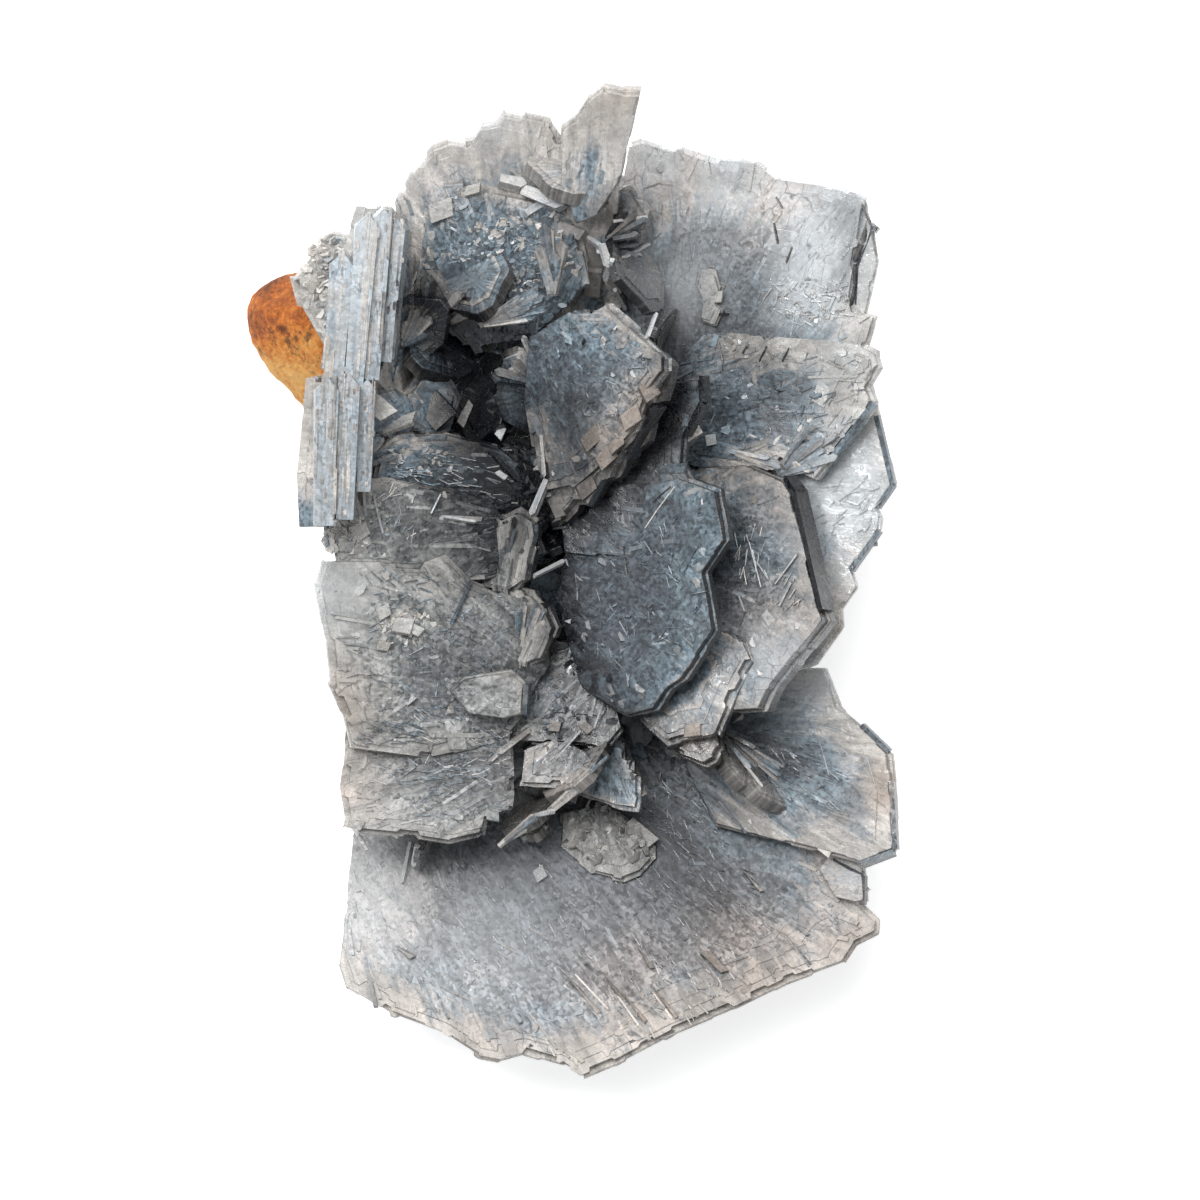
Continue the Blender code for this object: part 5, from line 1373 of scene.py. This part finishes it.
for name, middle, reach, count, size, cloudy in CRUSTS:
    flat, placed = built[name]
    back = placed.inverted()
    patch = [tuple((back @ on_top(name, middle[0] + reach[0] * math.cos(turn),
                                  middle[1] + reach[1] * math.sin(turn))).xy)
             for turn in np.linspace(0.0, math.tau, 9)[:-1]]
    flakes(edit, patch, placed, draw, count, size, 0.15, 24.0, (0.0, 0.0), cloudy)
finished(edit, "crusts", zoned_barite)

# %% [markdown]
# Flat plates have grown on the blades: pale hexagons on the left, brownish lamellae along the
# crest, and a few bright chips that catch the lamp. Each lies on what is seen under its middle.

# %% Plates and chips
PLATES = [  # middle as seen, length, width, turn and tilt in degrees, darker, tan
    ((-19.7, 18.0), 4.6, 2.8, -24, 10, -0.25, 0.0), ((-17.4, 16.2), 4.6, 2.2, 28, 16, -0.3, 0.0),
    ((-13.6, 17.6), 4.4, 4.2, 70, 14, 0.15, 0.0), ((-10.8, 17.2), 3.8, 1.5, 80, 24, -0.35, 0.0),
    ((-7.2, 15.4), 1.9, 1.2, 80, 10, -2.0, 0.0), ((-0.5, -3.5), 0.9, 0.8, 20, 10, -2.0, 0.0),
    ((-3.3, -28.8), 2.1, 2.0, 60, 14, -1.0, 0.0), ((13.8, 14.6), 1.6, 1.5, 40, 12, -1.0, 0.0),
    ((1.8, 14.8), 3.4, 2.2, 62, 8, -0.1, 0.7), ((3.3, 12.9), 3.6, 2.4, 60, 10, -0.1, 0.8),
    ((1.4, 10.0), 3.0, 2.4, 58, 12, -0.1, 0.6), ((5.8, 16.8), 3.4, 2.6, 54, 8, -0.1, 0.8),
    ((7.6, 19.6), 2.8, 2.4, 60, 10, -0.1, 0.7), ((4.4, 14.2), 2.6, 1.8, 60, 12, 0.0, 0.9),
    ((-17.0, -4.0), 2.8, 2.2, 20, 14, -0.3, 0.0), ((-15.8, -4.4), 2.6, 1.6, -10, 20, -0.4, 0.0),
    ((-18.9, -2.6), 2.2, 1.8, 50, 20, -0.3, 0.0), ((-19.0, -6.0), 2.0, 1.4, 10, 20, -0.2, 0.3),
    ((-16.2, -11.3), 1.6, 1.0, 70, 24, -0.8, 0.1), ((-12.4, -12.6), 1.6, 1.1, 30, 26, -0.3, 0.2),
    ((-21.2, 5.4), 2.4, 1.8, 60, 16, -0.6, 0.0), ((-24.1, 4.8), 3.2, 2.2, 80, 8, -0.3, 0.0),
    ((-22.6, 4.0), 2.0, 1.6, 10, 20, -0.6, 0.0), ((-18.2, 13.6), 1.0, 0.8, 10, 20, -1.0, 0.0),
    ((-7.2, 11.1), 1.4, 0.9, 30, 30, -0.8, 0.0), ((-10.0, 39.6), 2.4, 1.6, 30, 20, -0.2, 0.0),
    ((-9.6, 35.8), 0.9, 0.6, 30, 20, -1.0, 0.0), ((-7.0, 35.4), 0.8, 0.6, 10, 20, -1.0, 0.0),
    ((-13.2, 37.6), 3.6, 2.6, 40, 10, -0.1, 0.0), ((12.0, -14.4), 2.6, 2.0, 30, 14, -0.2, 0.5),
    ((16.5, -13.2), 1.8, 1.0, 50, 30, -0.6, 0.0), ((-1.8, -14.1), 1.8, 1.4, 20, 12, -0.2, 0.3),
    ((1.4, -14.2), 1.9, 1.5, -20, 12, -0.2, 0.2), ((14.2, -37.6), 3.6, 1.2, -38, 3, 0.0, 0.3),
    ((6.0, -42.0), 5.0, 0.8, -48, 3, -0.1, 0.5), ((9.2, -41.6), 4.6, 0.7, -50, 3, -0.1, 0.5),
    ((1.0, -40.8), 5.6, 0.9, -46, 3, -0.1, 0.2), ((7.2, -37.2), 3.0, 0.7, -50, 4, 0.1, 0.1),
    ((18.0, -29.6), 3.0, 0.6, -44, 6, -0.3, 0.2), ((-16.8, -36.6), 2.4, 0.9, -24, 8, -0.1, 0.0),
    ((4.0, -40.0), 4.0, 0.7, -48, 3, 0.1, 0.1),
]
PLATE_LIFT = 0.25  # mm from the surface to the middle of a plate
edit = fresh()
draw = random.Random(33)
for middle, long, wide, turn, tilt, darker, tan in PLATES:
    turned = Matrix.Rotation(math.radians(turn), 4, "Z")
    here = Matrix.Translation(resting(*middle, PLATE_LIFT)) @ turned @ tilted(draw, tilt)
    corners = tablet_outline(long, wide)
    outline = [(x * draw.uniform(0.75, 1.0), y * draw.uniform(0.75, 1.0))
               for x, y in (corners[::2] if wide > 1.1 else corners[::3])]
    clear = 0.5 if darker < -0.7 else 0.0
    poured(edit, layer(outline, -0.3, 0.25, here, 1.0, None, bevel=0.05, uneven=0.04, inset=2.0,
                       smokier=darker + 0.1, tanner=tan, clearer=clear))
finished(edit, "plates_and_chips", pale_barite)

# %% [markdown]
# The foot is the intergrown mass that all blades spring from. It is a lump with flat breaks, cut off
# flat where the specimen was taken from the rock, and crusted with small tablets round its sides.

# %% Lumps, the foot and its crust
BREAK_DEPTH = (0.74, 0.96)  # how far out a flat break lies, where the sphere's radius is 1
SWELLS = 14


def any_way(draw, upright=1.0):
    """A random direction, less steep where upright is under 1."""
    return Vector((draw.gauss(0, 1), draw.gauss(0, 1), draw.gauss(0, upright)))


def lump(middle, reach, turn, seed, roughness, breaks, detail, coarse):
    """An uneven lump: a sphere pushed about, with flat breaks, stretched, turned and cut flat."""
    draw = random.Random(seed)
    edit = fresh()
    bmesh.ops.create_icosphere(edit, subdivisions=detail, radius=1.0)
    swells = [(any_way(draw).normalized(), draw.uniform(-roughness, roughness))
              for _ in range(SWELLS)]
    broken = [(any_way(draw, 0.6).normalized(), draw.uniform(*BREAK_DEPTH)) for _ in range(breaks)]
    for vert in edit.verts:
        direction = vert.co.normalized()
        swell = sum(size * max(0.0, direction.dot(way)) ** 4 for way, size in swells)
        vert.co = direction * (1.0 + swell)
        for way, depth in broken:
            vert.co -= way * max(0.0, vert.co.dot(way) - depth)
        vert.co = Vector((vert.co.x * reach.x, vert.co.y * reach.y, vert.co.z * reach.z))
        for scale, push in coarse:
            vert.co -= direction * push * (0.5 + noise.noise(vert.co * scale))
        vert.co.rotate(Matrix.Rotation(turn, 3, "Z"))
        vert.co += middle
    cut = cut_through(edit, (0.0, 0.0, 0.0), (0.0, 0.0, -1.0), clear_outer=True)
    rim = [item for item in cut["geom_cut"] if isinstance(item, bmesh.types.BMEdge)]
    bmesh.ops.holes_fill(edit, edges=rim, sides=0)
    return edit


FOOT_MIDDLE = Vector((0.5, -1.0, 6.0)) + ASIDE
FOOT_REACH = Vector((13.5, 25.0, 8.5))
CRUST_HEIGHTS = (1.0, 13.0)  # mm between which small tablets sit on the foot
CRUST_TABLETS = 420
edit = lump(FOOT_MIDDLE, FOOT_REACH, 0.0, 3, 0.30, 16, 5, ((0.5, 0.8), (1.6, 0.3)))
mark(edit, edit.verts[:], [9.0] * len(edit.verts), [(vert.co.x, vert.co.y) for vert in edit.verts])
draw = random.Random(31)
skin = [vert for vert in edit.verts if CRUST_HEIGHTS[0] < vert.co.z < CRUST_HEIGHTS[1]]
for vert in draw.sample(skin, CRUST_TABLETS):
    out = Vector((vert.co.x - FOOT_MIDDLE.x, (vert.co.y - FOOT_MIDDLE.y) * 0.4, 2.0)).normalized()
    normal = out.cross(any_way(draw)).normalized()
    radius = draw.uniform(0.8, 2.4)
    placed = frame_of(vert.co, out, normal) @ Matrix.Diagonal((1.3, 0.8, 1.0, 1.0))
    verts = six_sided(edit, radius, radius * 0.35, placed)
    zone = draw.uniform(2.0, 9.0)
    mark(edit, verts, [zone] * 12, [(zone, radius * 9)] * 12, smokier=-0.3)
finished(edit, "foot", zoned_barite)

# %% [markdown]
# ## The host rock
#
# The rosette grew on a rock stained orange by limonite, an earthy iron oxide. It is dull, warm and
# uneven, rusty brown where it is dense and ochre where it is powdery, with small dark pits. A
# displaced ball would be too round, so the lump has flat breaks, swells and a fine uneven skin.

# %% Limonite-stained rock
def limonite_rock():
    """Orange to rusty brown rock, dull and pitted."""
    made, tree, in_mm = empty_material("limonite_stained_rock")
    # Patches of stain 3 to 6 mm across, a grainy mottle of 0.3 to 1 mm, dark blotches of 2 mm and
    # pits just under 1 mm apart.
    patch = grain(tree, in_mm, 0.22, 5.0, 0.6)
    mottle = grain(tree, in_mm, 1.5, 6.0, 0.8)
    blotch = grain(tree, in_mm, 0.42, 5.0, 0.72)
    pits = add(tree, "ShaderNodeTexVoronoi", {"Vector": in_mm, "Scale": 1.3}).outputs["Distance"]
    heights = add(tree, "ShaderNodeSeparateXYZ", {"Vector": in_mm})
    # The stain is densest at the upper end of the lump, and paler and yellower lower down.
    down = spread(tree, heights.outputs["Y"], 30.0, 19.0, -0.05, 0.21)
    level = both(tree, "ADD", both(tree, "MULTIPLY", patch, 0.6),
                 spread(tree, mottle, 0.32, 0.68, 0.08, 0.32))
    colour = ramp(tree, both(tree, "ADD", level, down), [
        (0.30, "4a2a17"), (0.42, "8a4a22"), (0.52, "c26a24"), (0.62, "e0903c"), (0.75, "efb869")])
    colour = blended(tree, spread(tree, pits, 0.05, 0.22, 0.3, 0.0), colour, linear("3b2415"))
    colour = blended(tree, spread(tree, blotch, 0.56, 0.66, 0.0, 0.8), colour, linear("42220f"))
    relief = both(tree, "ADD", mottle, both(tree, "MULTIPLY", pits, 0.6))
    bump = add(tree, "ShaderNodeBump", {"Strength": 1.0, "Distance": 0.5 * MM, "Height": relief})
    shader = add(tree, "ShaderNodeBsdfPrincipled", {
        "Base Color": colour, "Roughness": 0.82, "Normal": bump.outputs["Normal"]})
    add(tree, "ShaderNodeOutputMaterial", {"Surface": shader.outputs["BSDF"]})
    return made


ROCK_MIDDLE = Vector((-17.0, 21.0, 4.6)) + ASIDE
ROCK_REACH = Vector((14.6, 10.0, 8.6))
ROCK_TURN = math.radians(-28.0)
edit = lump(ROCK_MIDDLE, ROCK_REACH, ROCK_TURN, 11, 0.30, 7, 6, ((0.4, 0.35), (1.6, 0.18)))
edit.verts.layers.float_color.remove(edit.verts.layers.float_color["growth"])
edit.verts.layers.float_vector.remove(edit.verts.layers.float_vector["lines"])
rock = settled(edit, "stained_rock", limonite_rock(), "host_rock")
for polygon in rock.data.polygons:
    polygon.use_smooth = True

# %% [markdown]
# ## The setting
#
# White paper under the specimen, one large soft lamp above it, towards its upper end, a small one
# that makes the facets glint, and an even white surround. The paper glows a little of its own, as
# on a light table, which keeps the clear rims bright.

# %% Floor, camera and light
def camera_above():
    """A camera where the eye is, which looks straight down."""
    lens = bpy.data.cameras.new("camera")
    lens.sensor_width = 36.0
    lens.lens = 36.0 * EYE.z / 120.0
    lens.clip_start = 0.05
    made = in_scene("camera", lens)
    made.location = (EYE + ASIDE) * MM
    bpy.context.scene.camera = made


camera_above()
cycles = bpy.context.scene.cycles
cycles.max_bounces, cycles.transmission_bounces, cycles.diffuse_bounces = 5, 4, 2
floor_mesh = bpy.data.meshes.new("floor")
edit = bmesh.new()
bmesh.ops.create_grid(edit, x_segments=1, y_segments=1, size=2.0)
edit.to_mesh(floor_mesh)
edit.free()
floor = in_scene("floor", floor_mesh)
paper = bpy.data.materials.new("white_paper")
paper.use_nodes = True
sheet = paper.node_tree.nodes["Principled BSDF"]
sheet.inputs["Base Color"].default_value = linear("f2f2f2")
sheet.inputs["Roughness"].default_value = 0.9
sheet.inputs["Emission Color"].default_value = linear("ffffff")
sheet.inputs["Emission Strength"].default_value = 0.55
floor_mesh.materials.append(paper)


def square_lamp(name, energy, size, place):
    """A square lamp that points at the specimen."""
    light = bpy.data.lights.new(name, "AREA")
    light.energy, light.size = energy, size
    lamp = in_scene(name, light)
    lamp.location = place
    lamp.rotation_euler = Vector((0.0, 0.0, 1.0)).rotation_difference(Vector(place)).to_euler()


square_lamp("softbox", 10.5, 0.8, (-0.20, 0.46, 0.77))
square_lamp("small_lamp", 1.2, 0.12, (-0.30, 0.22, 0.80))
sky = bpy.data.worlds.new("studio")
bpy.context.scene.world = sky
sky.use_nodes = True
sky.node_tree.nodes["Background"].inputs["Color"].default_value = linear("f2f4f6")
sky.node_tree.nodes["Background"].inputs["Strength"].default_value = 0.5
bpy.context.scene.view_settings.view_transform = "Standard"
